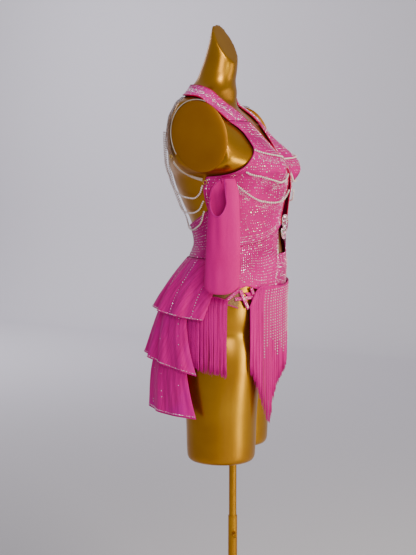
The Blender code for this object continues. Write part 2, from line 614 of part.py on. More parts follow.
def make_tiers(pink):
    """Three fluted tiers, each hung over the back and spreading to its hem."""
    for row, shape in zip(TIERS, TIER_SHAPES):
        name, top_angle, hem_angle, drop, flutes, deep = row
        table = np.array(shape, float)
        u = np.linspace(-1, 1, 5 * flutes + 1)
        v = np.linspace(0, 1, 6)[:, None]
        z = table[0, 0] + (table[-1, 0] - table[0, 0]) * v
        half_width = smooth(z, table[::-1, 0], table[::-1, 1])
        depth = smooth(z, table[::-1, 0], table[::-1, 2])
        turn = np.radians(u * (180.0 - (top_angle + (hem_angle - top_angle) * v ** 2)))
        wave = deep * v ** 1.5 * (1 - 0.75 * u ** 2) * np.cos(np.pi * flutes * u)
        _, front, back, square = form_section(np.maximum(z, 930.0))
        middle = (back - front) / 2
        side, rear = np.sin(turn), np.cos(turn)
        x = -(half_width + wave) * np.sign(side) * np.abs(side) ** (2 / square)
        y = middle + (depth + wave - middle) * np.sign(rear) * np.abs(rear) ** (2 / square)
        points = np.stack([x, y, z - drop * v ** 2 * u ** 2 + 0.3 * wave], axis=-1)
        cloth(name, points, TIER_WALL, pink, middle=(0.0, 0.0))


def hung(angle, top, end, rows, out):
    """A curtain that follows the hip to its widest, then falls straight to its end."""
    v = np.linspace(0, 1, rows)[:, None]
    z = top + (end - top) * v
    angle = np.broadcast_to(angle, z.shape)
    points = on_form(angle, np.maximum(z, HIP_Z + 20.0), np.full(z.shape, out))
    points[..., 2] = z
    return points


def make_fringe(pink):
    """Solids of the fringe's reach: round the front, and behind each hip's slit."""
    angle = np.array([-50, -45, -40, -34, -29.5, -25, -22, -19, -13, -8, -2, 3, 10, 16, 24, 32,
                      41, 50.0])
    top = smooth(np.abs(angle), FRINGE_TOP_ANGLE, FRINGE_TOP_Z)
    end = smooth(angle, FRONT_FRINGE_ANGLE, FRONT_FRINGE_END)
    cloth("fringe_front", hung(angle, top, end, 6, FRINGE_GAP), FRINGE_WALL, pink)
    for label, side in SIDES:
        angle = np.linspace(SIDE_FRINGE_ANGLE[0], SIDE_FRINGE_ANGLE[-1], 9)
        top = smooth(angle, SIDE_FRINGE_ANGLE, SIDE_FRINGE_TOP)
        end = smooth(angle, SIDE_FRINGE_ANGLE, SIDE_FRINGE_END)
        cloth("fringe_side_" + label, hung(side * angle, top, end, 5, SIDE_FRINGE_GAP),
              FRINGE_WALL, pink)


def make_sleeves(pink):
    """Sleeves hung from the underarm: the mouth's outer side sags low, the hem is open."""
    for label, side in SIDES:
        turn = np.radians(np.arange(16) * 22.5)[None, :]
        v = np.linspace(0, 1, 8)[:, None]
        outward, rear = np.sin(turn), -np.cos(turn)
        lip = np.sqrt(np.clip(1.0 - ((rear - MOUTH_MIDDLE) / MOUTH_HALF) ** 2, 0, 1))
        crown = np.sqrt(np.clip(1.0 - (np.clip(rear - 0.1, 0, None) / 0.9) ** 2, 0, 1))
        opened = (outward > -0.01) & (rear > MOUTH_MIDDLE - MOUTH_HALF)
        top = np.where(opened, MOUTH_Z - MOUTH_LOW * lip,
                       MOUTH_Z + (SLEEVE_TOP - MOUTH_Z) * crown)
        hem = SLEEVE_HEM + 16.0 * np.abs(rear) ** 3
        z = top + (hem - top) * v
        half_width, _, _, _ = form_section(z)
        leave = np.maximum(smooth(z, (900, 960, 1010, 1100, 1196, 1230.0),
                                  (176.0, 173.0, 167.0, 161.0, 157.0, 157.0)), half_width + 6.0)
        x = side * (leave + 3.0 + SLEEVE_HALF_DEPTH * (1.0 + outward))
        widen = 1.0 + 0.06 * v - 0.16 * (1 - v) ** 3
        y = SLEEVE_Y + SLEEVE_HALF_WIDTH * widen * rear
        raised = np.clip((z - MOUTH_Z) / (SLEEVE_TOP - MOUTH_Z), 0, 1)
        y = y + STRIP_LEAN * raised ** 2 * (rear < 0.2)
        points = np.stack(np.broadcast_arrays(x, y, z), axis=-1)
        cloth("sleeve_" + label, points, BASE_WALL, pink, closed=True,
              middle=(side * 178.0, SLEEVE_Y))


def make_strings(pearl, crystal):
    """Pearl strings across the open back, bead swags over the bust, and the keyhole's brooch."""
    for label, side in SIDES:
        for number, (points, gap) in enumerate(zip(BACK_STRINGS, STRING_GAP), 1):
            angle, z = along(points, 12)
            pearl_string(f"back_string_{number}_{label}",
                         on_form(side * angle, z, np.full(12, gap)), PEARL_RADIUS, pearl)
        for number, (points, gap) in enumerate(zip(BUST_SWAGS, SWAG_GAP), 1):
            angle, z = along(points, 11)
            pearl_string(f"bust_swag_{number}_{label}",
                         on_front(side * angle, z, np.full(11, gap)),
                         PEARL_RADIUS, pearl)
    for number, z in ((1, 1100.0), (2, 1072.0)):
        front = -smooth(z, TENT_Z, TENT_FRONT) - 1.0
        ring(f"brooch_{number}", (0.0, front, z), (0.0, -1.0, 0.0), 20.0, 3.0, crystal, flat=0.62)


def build():
    for old in list(bpy.data.objects):
        bpy.data.objects.remove(old)
    gold = material("form_gold", (0.62, 0.36, 0.05), 0.3, 1.0)
    pink = material("pink_stretch_satin", (0.72, 0.01, 0.25), 0.45)
    sheer = material("pink_chiffon", (0.75, 0.01, 0.27), 0.6)
    threads = material("pink_fringe", (0.75, 0.01, 0.3), 0.5)
    net = material("nude_net", (0.42, 0.25, 0.14), 0.7)
    clear = material("clear_elastic", (0.6, 0.45, 0.3), 0.3)
    pearl = material("pearl", (0.85, 0.78, 0.72), 0.25)
    crystal = material("crystal", (0.85, 0.85, 0.88), 0.1, 0.5)
    make_form(gold)
    make_arm_plates(gold)
    make_stand(gold)
    make_neckband(pink)
    make_fronts(pink)
    make_lower_front(pink)
    make_back(pink, net)
    make_straps(pink, clear, gold)
    make_brief(pink, net)
    make_tiers(sheer)
    make_fringe(threads)
    make_sleeves(pink)
    make_strings(pearl, crystal)


build()
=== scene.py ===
"""The looks of a fuchsia rumba dress on a gold limbless dress form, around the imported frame.

Shapes are worked out in millimetres and stored in metres. +Z is up, the form faces -Y and
its right side is at -X. Angles run round the body in degrees: 0 front, 90 left, 180 back.
"""
import math

import bmesh
import bpy
import numpy as np
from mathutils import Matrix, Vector


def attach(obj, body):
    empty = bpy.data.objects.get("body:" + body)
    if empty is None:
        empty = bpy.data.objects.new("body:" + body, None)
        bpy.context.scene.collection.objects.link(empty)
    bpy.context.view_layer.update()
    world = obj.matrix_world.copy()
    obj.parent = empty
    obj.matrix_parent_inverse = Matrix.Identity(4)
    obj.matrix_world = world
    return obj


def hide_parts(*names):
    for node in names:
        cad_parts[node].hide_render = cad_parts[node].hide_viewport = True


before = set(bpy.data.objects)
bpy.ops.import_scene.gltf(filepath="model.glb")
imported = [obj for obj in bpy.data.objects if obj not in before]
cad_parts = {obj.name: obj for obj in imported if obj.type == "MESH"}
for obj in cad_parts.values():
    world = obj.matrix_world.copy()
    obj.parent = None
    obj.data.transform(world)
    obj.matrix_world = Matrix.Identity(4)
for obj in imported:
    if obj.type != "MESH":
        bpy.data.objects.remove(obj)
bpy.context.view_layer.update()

# ---- Room, light and camera ----------------------------------------------------------
# A pale seamless floor that turns up into a wall. Four soft lamps stand in front and to the
# form's right: a high key, a wide one at its side, a weak one, and a low, tall, yellowish one
# that glints in the gold. A fifth lights the wall.
MM = 0.001
scene = bpy.context.scene


def srgb(code):
    """A colour's sRGB hex value turned into linear red, green, blue and an alpha of one."""
    part = np.array([int(code[i:i + 2], 16) for i in (0, 2, 4)]) / 255.0
    linear = np.where(part <= 0.04045, part / 12.92, ((part + 0.055) / 1.055) ** 2.4)
    return (*linear.tolist(), 1.0)


def feed(tree, made, inputs):
    """Links each of these inputs of a node to a socket, or sets its own value."""
    for key, value in inputs.items():
        if isinstance(value, bpy.types.NodeSocket):
            tree.links.new(value, made.inputs[key])
        else:
            made.inputs[key].default_value = value


def node(tree, kind, inputs=None, stops=(), **settings):
    """Adds a shader node, sets its properties and a ramp's colour stops, and feeds it."""
    made = tree.nodes.new("ShaderNode" + kind)
    for key, value in settings.items():
        setattr(made, key, value)
    if stops:
        ramp = made.color_ramp.elements
        for stop, (at, code) in zip((ramp[0], ramp[1]), (stops[0], stops[-1])):
            stop.position, stop.color = at, srgb(code)
        for at, code in stops[1:-1]:
            ramp.new(at).color = srgb(code)
    feed(tree, made, inputs or {})
    return made


def new_material(name):
    """An empty node material: its tree, and its Principled shader, linked to the output."""
    made = bpy.data.materials.new(name)
    made.use_nodes = True
    tree = made.node_tree
    tree.nodes.clear()
    shader = node(tree, "BsdfPrincipled")
    node(tree, "OutputMaterial", {"Surface": shader.outputs["BSDF"]})
    return made, tree, shader


def grid_quads(rows, columns, closed=False):
    """Quads between neighbouring rows and columns, as an array of four indices each."""
    r, c = np.meshgrid(np.arange(rows - 1), np.arange(columns if closed else columns - 1),
                       indexing="ij")
    r, c, n = r.ravel(), c.ravel(), (c.ravel() + 1) % columns
    return np.stack([r * columns + c, r * columns + n, (r + 1) * columns + n,
                     (r + 1) * columns + c], axis=-1)


def new_piece(name, points, quads, finish, uv=None, smooth_shaded=True):
    """A mesh object at the origin from points in millimetres, quads, and UVs in metres."""
    mesh = bpy.data.meshes.new(name)
    mesh.from_pydata((np.reshape(points, (-1, 3)) * MM).tolist(), [], quads.tolist())
    if uv is not None:
        layer = mesh.uv_layers.new(name="cut")
        layer.data.foreach_set("uv", uv[quads.ravel()].astype(np.float32).ravel())
    mesh.polygons.foreach_set("use_smooth", np.full(len(mesh.polygons), smooth_shaded))
    mesh.materials.append(finish)
    made = bpy.data.objects.new(name, mesh)
    scene.collection.objects.link(made)
    return made


wall_paint, tree, shader = new_material("matt pale wall paint")
feed(tree, shader, {"Base Color": srgb("DEDBE0"), "Roughness": 0.9})
# The sweep's profile: floor from 3.5 m in front to 5.3 m behind, then a quarter turn up. It
# is slanted a little against the form.
sweep_turn = np.linspace(0, math.pi / 2, 24)
sweep_x = np.concatenate([[-3500.0], 5300 + 900 * np.sin(sweep_turn), [6200.0]])
sweep_z = np.concatenate([[0.0], 900 - 900 * np.cos(sweep_turn), [3800.0]])
sweep_y = np.array([-4500.0, 4500.0])
sweep = np.stack(np.broadcast_arrays(sweep_x[:, None], sweep_y[None, :], sweep_z[:, None]), -1)
turn = math.radians(-16.0)
sweep = np.stack([sweep[..., 0] * math.cos(turn) - sweep[..., 1] * math.sin(turn),
                  sweep[..., 1] * math.cos(turn) - sweep[..., 0] * math.sin(turn),
                  sweep[..., 2] - 0.5], axis=-1)
backdrop = new_piece("backdrop", sweep, grid_quads(len(sweep_x), 2), wall_paint)

world = bpy.data.worlds.new("studio air")
scene.world = world
world.use_nodes = True
world.node_tree.nodes["Background"].inputs["Color"].default_value = srgb("E6E4EC")
world.node_tree.nodes["Background"].inputs["Strength"].default_value = 0.5


def soft_lamp(name, place, target, size, watts, colour, tall=1.0):
    """An area lamp aimed from its place at a target, tall times as high as it is wide."""
    light = bpy.data.lights.new(name, "AREA")
    light.shape, light.size, light.size_y = "RECTANGLE", size, tall * size
    light.energy = watts
    light.color = srgb(colour)[:3]
    made = bpy.data.objects.new(name, light)
    made.location = place
    aim = Vector(target) - Vector(place)
    made.rotation_euler = aim.to_track_quat("-Z", "Y").to_euler()
    scene.collection.objects.link(made)
    return made


soft_lamp("key_lamp", (-1.5, -2.1, 2.9), (0, 0, 1.05), 0.9, 52, "FFF6EC")
soft_lamp("side_lamp", (-2.9, -1.6, 2.0), (0, 0, 1.0), 1.3, 34, "FFFAFA")
soft_lamp("edge_lamp", (0.6, -2.6, 1.2), (0, 0, 1.0), 1.0, 8, "FFF2E4")
soft_lamp("front_lamp", (-0.95, -2.5, 0.75), (0, 0, 0.85), 0.5, 32, "F2F5A0", tall=2.4)
soft_lamp("wall_lamp", (3.4, 3.9, 2.6), (5.6, 1.6, 1.2), 1.6, 90, "F4F2FF")

CAMERA_AZIMUTH, CAMERA_HEIGHT, CAMERA_DISTANCE = -74.0, 1.245, 2.838
CAMERA_PITCH, CAMERA_YAW, CAMERA_LENS = 5.6, 1.174, 80.04
azimuth = math.radians(CAMERA_AZIMUTH)
camera_data = bpy.data.cameras.new("camera")
camera_data.lens, camera_data.sensor_width = CAMERA_LENS, 36.0
camera = bpy.data.objects.new("camera", camera_data)
camera.location = (math.sin(azimuth) * CAMERA_DISTANCE, -math.cos(azimuth) * CAMERA_DISTANCE,
                   CAMERA_HEIGHT)
heading = math.radians(CAMERA_AZIMUTH + CAMERA_YAW)
pitch = math.radians(CAMERA_PITCH)
look = Vector((-math.sin(heading) * math.cos(pitch), math.cos(heading) * math.cos(pitch),
               -math.sin(pitch)))
camera.rotation_euler = look.to_track_quat("-Z", "Y").to_euler()
scene.collection.objects.link(camera)
scene.camera = camera

# ---- Stand ---------------------------------------------------------------------------
# A round steel plate with a welded socket, a lower tube, and an upper tube that slides in
# it and is held by a thumb screw. All of it is steel, powder coated in satin gold.


def gold_coat(name, roughness, grain_mm, bump, deep="A8701A", bright="BE8822"):
    """Gold metallic paint: flakes under clear lacquer, so it mirrors softly and glows warm."""
    made, tree, shader = new_material(name)
    place = node(tree, "TexCoord")
    flake = node(tree, "TexNoise", {"Vector": place.outputs["Object"],
                                    "Scale": 1.0 / (grain_mm * MM), "Detail": 2.0})
    patch = node(tree, "TexNoise", {"Vector": place.outputs["Object"], "Scale": 9.0,
                                    "Detail": 3.0})
    tint = node(tree, "ValToRGB", {"Fac": patch.outputs["Fac"]}, ((0.3, deep), (0.72, bright)))
    rough = node(tree, "MapRange", {"Value": flake.outputs["Fac"], "To Min": roughness - 0.05,
                                    "To Max": roughness + 0.07})
    relief = node(tree, "Bump", {"Height": flake.outputs["Fac"], "Strength": bump,
                                 "Distance": 0.15 * MM})
    feed(tree, shader, {"Base Color": tint.outputs["Color"], "Roughness": rough.outputs["Result"],
                        "Normal": relief.outputs["Normal"], "Metallic": 0.92})
    return made


stand_gold = gold_coat("satin gold powder coat on steel", 0.38, 0.9, 0.35)
for name in ("base_plate", "base_socket", "pole_lower", "pole_upper", "clamp_boss",
             "clamp_screw"):
    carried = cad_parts[name]
    carried.data.materials.clear()
    carried.data.materials.append(stand_gold)


def unit(vectors):
    """The same directions, each one long."""
    return vectors / np.linalg.norm(vectors, axis=-1, keepdims=True)


def tube(name, path, radius, finish, sides=10, flat=1.0, closed=False):
    """A round tube: a ring of sides carried along the path, with flat ends or joined up."""
    path = np.asarray(path, float)
    if closed:
        heading = np.roll(path, -1, axis=0) - np.roll(path, 1, axis=0)
    else:
        heading = np.gradient(path, axis=0)
    heading = unit(heading)
    first = unit(np.cross(heading, (0.31, 0.17, 0.94)))
    second = np.cross(heading, first)
    around = np.arange(sides) * 2 * math.pi / sides
    ring = (np.cos(around)[None, :, None] * first[:, None, :]
            + flat * np.sin(around)[None, :, None] * second[:, None, :])
    points = path[:, None, :] + np.asarray(radius, float).reshape(-1, 1, 1) * ring
    if closed:
        points = np.concatenate([points, points[:1]])
        quads = grid_quads(len(path) + 1, sides, closed=True) % (len(path) * sides)
        return new_piece(name, points[:-1], quads, finish)
    made = new_piece(name, points, grid_quads(len(path), sides, closed=True), finish)
    caps = bmesh.new()
    caps.from_mesh(made.data)
    bmesh.ops.holes_fill(caps, edges=[e for e in caps.edges if e.is_boundary], sides=0)
    bmesh.ops.recalc_face_normals(caps, faces=caps.faces)
    caps.to_mesh(made.data)
    caps.free()
    return made


def circle(centre, outward, radius, count=40, squash=1.0):
    """Points of a circle, or an oval, in the plane square to outward."""
    outward = unit(np.array(outward, float))
    first = unit(np.cross(outward, (0.0, 0.0, 1.0)))
    second = np.cross(first, outward)
    around = np.arange(count)[:, None] * 2 * math.pi / count
    return (np.array(centre) + radius * np.cos(around) * first
            + squash * radius * np.sin(around) * second)


SCREW_AZIMUTH, SCREW_Z = math.radians(-58.0), 362.0
screw_out = np.array([math.sin(SCREW_AZIMUTH), -math.cos(SCREW_AZIMUTH), 0.0])
screw_side = np.array([-screw_out[1], screw_out[0], 0.0])
screw_wing = tube("clamp_wing", circle(screw_out * 17.0 + (0, 0, SCREW_Z), screw_side, 6.5, 28),
                  1.5, stand_gold, sides=8, closed=True)
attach(screw_wing, "base")

# ---- Dress form ----------------------------------------------------------------------
# A fibreglass torso with a slanting neck cut and two thigh ends, laid up in one shell,
# sanded and sprayed with the same gold, glossier than the stand. It hangs on the mast.
FORM_ROWS = np.array((
    # z, half_width, front, back, squareness
    (790.0, 30.0, 30.0, 40.0, 2.0), (797.0, 62.0, 62.0, 72.0, 2.0),
    (812.0, 104.0, 84.0, 98.0, 2.1), (835.0, 140.0, 97.0, 115.0, 2.2),
    (870.0, 162.0, 103.0, 126.0, 2.3), (900.0, 167.0, 106.0, 127.0, 2.3),
    (940.0, 164.0, 109.0, 121.0, 2.3), (985.0, 151.0, 114.0, 106.0, 2.2),
    (1020.0, 132.0, 112.0, 92.0, 2.1), (1050.0, 120.0, 108.0, 84.0, 2.0),
    (1090.0, 121.0, 104.0, 92.0, 2.0), (1140.0, 130.0, 105.0, 112.0, 2.1),
    (1190.0, 144.0, 108.0, 130.0, 2.2), (1205.0, 152.0, 109.0, 133.0, 2.2),
    (1216.0, 173.0, 108.0, 135.0, 2.2), (1235.0, 194.0, 104.0, 136.0, 2.2),
    (1286.0, 205.0, 71.0, 134.0, 2.2), (1330.0, 200.0, 35.0, 125.0, 2.2),
    (1350.0, 190.0, 10.0, 114.0, 2.1), (1362.0, 178.0, -8.0, 106.0, 2.1),
    (1372.0, 150.0, -11.0, 101.0, 2.0), (1382.0, 118.0, -10.0, 99.0, 2.0),
    (1392.0, 88.0, -5.0, 98.0, 2.0), (1402.0, 66.0, 0.0, 96.0, 2.0),
    (1418.0, 51.0, 3.0, 86.0, 2.0), (1440.0, 43.0, 7.0, 77.0, 2.0),
    (1464.0, 40.0, 9.0, 68.0, 2.0), (1510.0, 36.0, 10.0, 55.0, 2.0),
    (1580.0, 32.0, 9.0, 42.0, 2.0)))
ARM_PLANE_X = 178.0
BUST_Z, BUST_X, BUST_RISE, BUST_WIDTH = 1215.0, 78.0, 37.0, 46.0
BUST_ABOVE, BUST_BELOW = 53.0, 40.0
# The root of the neck stands out in front between the shoulders: by how much at each height.
NECK_ROOT_Z = (1330.0, 1350.0, 1362.0, 1380.0, 1392.0, 1402.0, 1418.0)
NECK_ROOT_RISE = (0.0, 3.0, 15.0, 17.0, 12.0, 5.0, 0.0)
NECK_ROOT_WIDTH = 36.0
THIGH_ROWS = np.array((
    # z, centre_x, half_width, half_depth
    (560.0, 90.0, 60.0, 64.0), (561.5, 90.0, 66.0, 70.0), (565.0, 90.0, 70.0, 74.0),
    (571.0, 90.0, 73.0, 77.0), (650.0, 90.0, 74.0, 80.0), (740.0, 89.0, 76.0, 86.0),
    (800.0, 87.0, 76.0, 90.0), (840.0, 84.0, 74.0, 84.0), (870.0, 82.0, 64.0, 68.0),
    (900.0, 80.0, 44.0, 46.0)))
THIGH_BACK = {"right": 2.0, "left": 20.0}
NECK_CUT = (1474.0, 0.52, 1.5)
VOXEL_MM = 4.4
# In metres: the mast's socket, which starts below the form and ends blind inside it.
SOCKET_RADIUS, SOCKET_FROM, SOCKET_TO = 0.0104, 0.6, 0.925
RIGHT, LEFT = -1, 1
SIDES = (("right", RIGHT), ("left", LEFT))


def smooth(x, at, values):
    """A curve through the points that never overshoots them: cubics with limited slopes."""
    at, values = np.asarray(at, float), np.asarray(values, float)
    step = np.diff(at)
    slope = np.diff(values) / step
    tangent = np.concatenate([slope[:1], np.zeros(len(at) - 2), slope[-1:]])
    for i in range(1, len(at) - 1):
        if slope[i - 1] * slope[i] > 0:
            before, after = 2 * step[i] + step[i - 1], step[i] + 2 * step[i - 1]
            tangent[i] = (before + after) / (before / slope[i - 1] + after / slope[i])
    x = np.clip(x, at[0], at[-1])
    i = np.clip(np.searchsorted(at, x) - 1, 0, len(at) - 2)
    t = (x - at[i]) / step[i]
    ends = values[i] * (1 + 2 * t) * (1 - t) ** 2 + values[i + 1] * t ** 2 * (3 - 2 * t)
    return ends + step[i] * (tangent[i] * t * (1 - t) ** 2 - tangent[i + 1] * t ** 2 * (1 - t))


def form_section(z):
    """Half width, front, back and squareness of the form's level section at a height."""
    return [smooth(z, FORM_ROWS[:, 0], FORM_ROWS[:, k]) for k in range(1, 5)]


def form_point(angle, z):
    """A squared ellipse at each height, plus two bell-shaped swells, cut by the arm planes."""
    angle, z = np.broadcast_arrays(np.asarray(angle, float), np.asarray(z, float))
    half_width, front, back, square = form_section(z)
    s, c = np.sin(np.radians(angle)), np.cos(np.radians(angle))
    x = half_width * np.sign(s) * np.abs(s) ** (2 / square)
    y = (back - front) / 2 - (back + front) / 2 * np.sign(c) * np.abs(c) ** (2 / square)
    height = (z - BUST_Z) / np.where(z > BUST_Z, BUST_ABOVE, BUST_BELOW)
    swell = sum(np.exp(-((x - side * BUST_X) / BUST_WIDTH) ** 2) for _, side in SIDES)
    y = y - BUST_RISE * swell * np.exp(-height ** 2) * np.clip(3 * c, 0, 1)
    root = smooth(z, NECK_ROOT_Z, NECK_ROOT_RISE) * np.exp(-(x / NECK_ROOT_WIDTH) ** 2)
    y = y - root * np.clip(3 * c, 0, 1)
    return np.stack([np.clip(x, -ARM_PLANE_X, ARM_PLANE_X), y, z], axis=-1)


def on_form(angle, z, out):
    """The form's surface moved out along its normal, found from nearby points."""
    around = form_point(angle + 0.5, z) - form_point(angle - 0.5, z)
    up = form_point(angle, z + 1.0) - form_point(angle, z - 1.0)
    normal = unit(np.cross(around, up))
    return form_point(angle, z) + np.asarray(out, float)[..., None] * normal


def edge_angle(z, half):
    """The angle at which the form's surface is that far from the middle of the front."""
    half_width, _, _, square = form_section(z)
    return np.degrees(np.arcsin(np.clip(half / half_width, 0, 1) ** (square / 2)))


def capped(points):
    """Quads of a stack of level rings with both ends closed by a fan folded into quads."""
    rows, columns = points.shape[:2]
    half = np.arange(columns // 2 - 1)
    low = np.stack([half, columns - 1 - half, columns - 2 - half, half + 1], axis=-1)
    high = low[:, ::-1] + (rows - 1) * columns
    return np.concatenate([grid_quads(rows, columns, closed=True), low, high])


turn = np.arange(0, 360, 3.0)[None, :]
level = np.concatenate([[790, 791.5], np.arange(794, 1356, 7.0), np.arange(1358, 1416, 3.0)])
torso = form_point(turn, level[:, None])
neck_share = np.linspace(0, 1, 26)[1:, None]
neck_top = np.full(turn.shape, 1500.0)
for _ in range(12):
    edge = form_point(turn, neck_top)
    neck_top = NECK_CUT[0] + NECK_CUT[1] * edge[..., 0] + NECK_CUT[2] * edge[..., 1]
neck = form_point(turn, level[-1] + (neck_top - level[-1]) * neck_share)
torso = np.concatenate([torso, neck])
parts = [(torso.reshape(-1, 3), capped(torso))]
level = np.concatenate([[560, 561, 562.5, 565, 568, 571], np.arange(578, 901, 7.0)])[:, None]
for label, side in SIDES:
    centre, half_width, half_depth = [smooth(level, THIGH_ROWS[:, 0], THIGH_ROWS[:, k])
                                      for k in (1, 2, 3)]
    angle = np.radians(np.arange(0, 360, 5.0))[None, :]
    back = THIGH_BACK[label] * np.clip((900.0 - level) / 100.0, 0, 1)
    thigh = np.stack(np.broadcast_arrays(side * centre + half_width * np.sin(angle),
                                         back - half_depth * np.cos(angle), level), axis=-1)
    parts.append((thigh.reshape(-1, 3), capped(thigh)))
points, quads = parts[0]
for more, faces in parts[1:]:
    quads = np.concatenate([quads, faces + len(points)])
    points = np.concatenate([points, more])
form_gold = gold_coat("satin gold paint on fibreglass", 0.3, 1.2, 0.12)
form = new_piece("dress_form", points, quads, form_gold)
fuse = form.modifiers.new("fuse", "REMESH")
fuse.mode, fuse.voxel_size, fuse.use_smooth_shade = "VOXEL", VOXEL_MM * MM, True
fused = bpy.data.meshes.new_from_object(form.evaluated_get(
    bpy.context.evaluated_depsgraph_get()))
form.modifiers.clear()
form.data = fused
shape = bmesh.new()
shape.from_mesh(fused)
for rounds, low, high in ((2, 0.0, 2.0), (22, 0.775, 0.925)):
    for _ in range(rounds):
        band = [v for v in shape.verts if low < v.co.z < high]
        bmesh.ops.smooth_vert(shape, verts=band, factor=0.5, use_axis_x=True, use_axis_y=True,
                              use_axis_z=True)
# The mast's socket, a blind hole up into the crotch.
around = np.arange(24) * math.pi / 12
socket_rings = np.array([[(SOCKET_RADIUS * math.cos(a), SOCKET_RADIUS * math.sin(a), z)
                          for a in around] for z in (SOCKET_FROM, SOCKET_TO)])
shape.to_mesh(fused)
shape.free()
cutter_mesh = bpy.data.meshes.new("socket")
cutter_mesh.from_pydata(socket_rings.reshape(-1, 3).tolist(), [], capped(socket_rings).tolist())
cutter = bpy.data.objects.new("socket", cutter_mesh)
scene.collection.objects.link(cutter)
bore = form.modifiers.new("bore", "BOOLEAN")
bore.operation, bore.object, bore.solver = "DIFFERENCE", cutter, "EXACT"
bored = bpy.data.meshes.new_from_object(form.evaluated_get(
    bpy.context.evaluated_depsgraph_get()))
form.modifiers.clear()
form.data = bored
form.data.materials.clear()
form.data.materials.append(form_gold)
form.data.polygons.foreach_set("use_smooth", np.full(len(bored.polygons), True))
bpy.data.objects.remove(cutter)
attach(form, "form")
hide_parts("form_body")

# Arm plates: pressed oval discs screwed over the arm openings, with a rolled rim.
# The same gold, coloured browner and less bright: painted shade of the dark room it mirrors.
# Painted shade: the disc's darker brown gold stands for the dark reflection on its flat face.
disc_gold_painted_shade = gold_coat("gold paint on steel disc, darkened as painted shade", 0.4, 1.2, 0.12, "A0661C", "B0761E")
PLATE_Y, PLATE_Z, PLATE_HALF_DEPTH, PLATE_HALF_HEIGHT, PLATE_LEAN = 25.0, 1288.0, 62.0, 78.0, 16.0
lean = math.radians(PLATE_LEAN)
for label, side in SIDES:
    # Profile from the back rim up a long low slope to the nearly flat middle.
    share = np.array([1.0, 1.005, 0.99, 0.95, 0.9, 0.84, 0.76, 0.66, 0.5, 0.3, 0.02])
    out = np.array([0.3, 0.5, 0.9, 1.6, 2.2, 2.7, 3.1, 3.4, 3.6, 3.7, 3.7])
    angle = np.radians(np.arange(0, 360, 4.0))[None, :]
    deep = PLATE_HALF_DEPTH * share[:, None] * np.cos(angle)
    tall = PLATE_HALF_HEIGHT * share[:, None] * np.sin(angle)
    plate = np.stack(np.broadcast_arrays(
        side * (ARM_PLANE_X + out[:, None]), PLATE_Y + deep * math.cos(lean)
        + tall * math.sin(lean), PLATE_Z - deep * math.sin(lean) + tall * math.cos(lean)), -1)
    plate = plate if side == LEFT else plate[:, ::-1]
    made = new_piece(f"arm_disc_{label}", plate, capped(plate), disc_gold_painted_shade)
    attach(made, "form")
    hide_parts(f"arm_plate_{label}")

# ---- Brief ---------------------------------------------------------------------------
# The brief under the skirt: stretch satin, a front and a back cut narrow between the legs,
# left open round the mast. Nude stretch net fills each hip between front and back.
BASE_GAP, BASE_WALL, MESH_WALL, SEAM = 3.0, 1.4, 1.0, 0.5
HIP_EDGE_ANGLE = (0.0, 40.0, 55.0, 62.0, 80.0, 100.0)
HIP_EDGE_Z = (950.0, 954.0, 962.0, 958.0, 950.0, 946.0)
BACK_LOW_Z = 1018.0


def sheet_normals(points, closed=False, middle=(0.0, 10.0)):
    """Unit normals of a grid, from its rows and columns, on the side away from the middle."""
    if closed:
        across = np.roll(points, -1, axis=1) - np.roll(points, 1, axis=1)
    else:
        across = np.gradient(points, axis=1)
    normal = np.cross(across, np.gradient(points, axis=0))
    normal /= np.maximum(np.linalg.norm(normal, axis=-1, keepdims=True), 1e-9)
    away = (normal[..., :2] * (points[..., :2] - np.array(middle))).sum()
    return normal if away > 0 else -normal


def lengths(points):
    """Distance along each row and down each column of a grid, from its first point."""
    across = np.linalg.norm(np.diff(points, axis=1), axis=-1)
    down = np.linalg.norm(np.diff(points, axis=0), axis=-1)
    return (np.pad(np.cumsum(across, axis=1), ((0, 0), (1, 0))),
            np.pad(np.cumsum(down, axis=0), ((1, 0), (0, 0))))


def shell(name, points, wall, finish, closed=False, middle=(0.0, 10.0)):
    """Cloth as a closed thin shell: the grid of its inner face, the same grid moved out along
    its normals by the wall, and a rim round every edge. Its UVs are lengths on the cloth."""
    rows, columns = points.shape[:2]
    normal = sheet_normals(points, closed, middle)
    count = rows * columns
    inner = grid_quads(rows, columns, closed)
    facing = np.cross(points[0, 1] - points[0, 0], points[1, 0] - points[0, 0])
    turned = (facing * normal[0, 0]).sum() < 0
    outer = inner[:, ::-1] + count if turned else inner + count
    inner = inner if turned else inner[:, ::-1]
    if closed:
        ring = np.append(np.arange(columns), 0)
        rims = [ring, (rows - 1) * columns + ring[::-1]]
    else:
        low, right = np.arange(columns), np.arange(1, rows) * columns + columns - 1
        high, left = count - 2 - np.arange(columns - 1), np.arange(rows - 2, -1, -1) * columns
        rims = [np.concatenate([low, right, high, left])]
    edge = np.concatenate([np.stack([r[:-1], r[1:], r[1:] + count, r[:-1] + count], axis=-1)
                           for r in rims])
    edge = edge[:, ::-1] if turned else edge
    across, down = lengths(points)
    uv = np.stack([across - across[:, -1:] / 2, -down], axis=-1).reshape(-1, 2) * MM
    both = np.concatenate([points.reshape(-1, 3), (points + wall * normal).reshape(-1, 3)])
    piece = new_piece(name, both, np.concatenate([outer, inner, edge]), finish,
                      uv=np.concatenate([uv, uv]))
    return piece, points + wall * normal, normal


def wear(piece, slot, *nodes):
    """The piece goes with the form and stands for these nodes; the slot is not used."""
    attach(piece, "form")
    if nodes:
        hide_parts(*nodes)


def edging(name, path, radius, finish, slot="crystalled_satin", sides=8, **shape):
    """A bound or rolled edge, or a tape: a tube that goes with the form."""
    made = tube(name, path, radius, finish, sides=sides, **shape)
    wear(made, slot)
    return made


def cut_as(points, closed=False):
    """Takes a cloth's grid, joined round if closed, and does nothing more with it."""
    if closed:
        points = np.concatenate([points, points[:, :1]], axis=1)


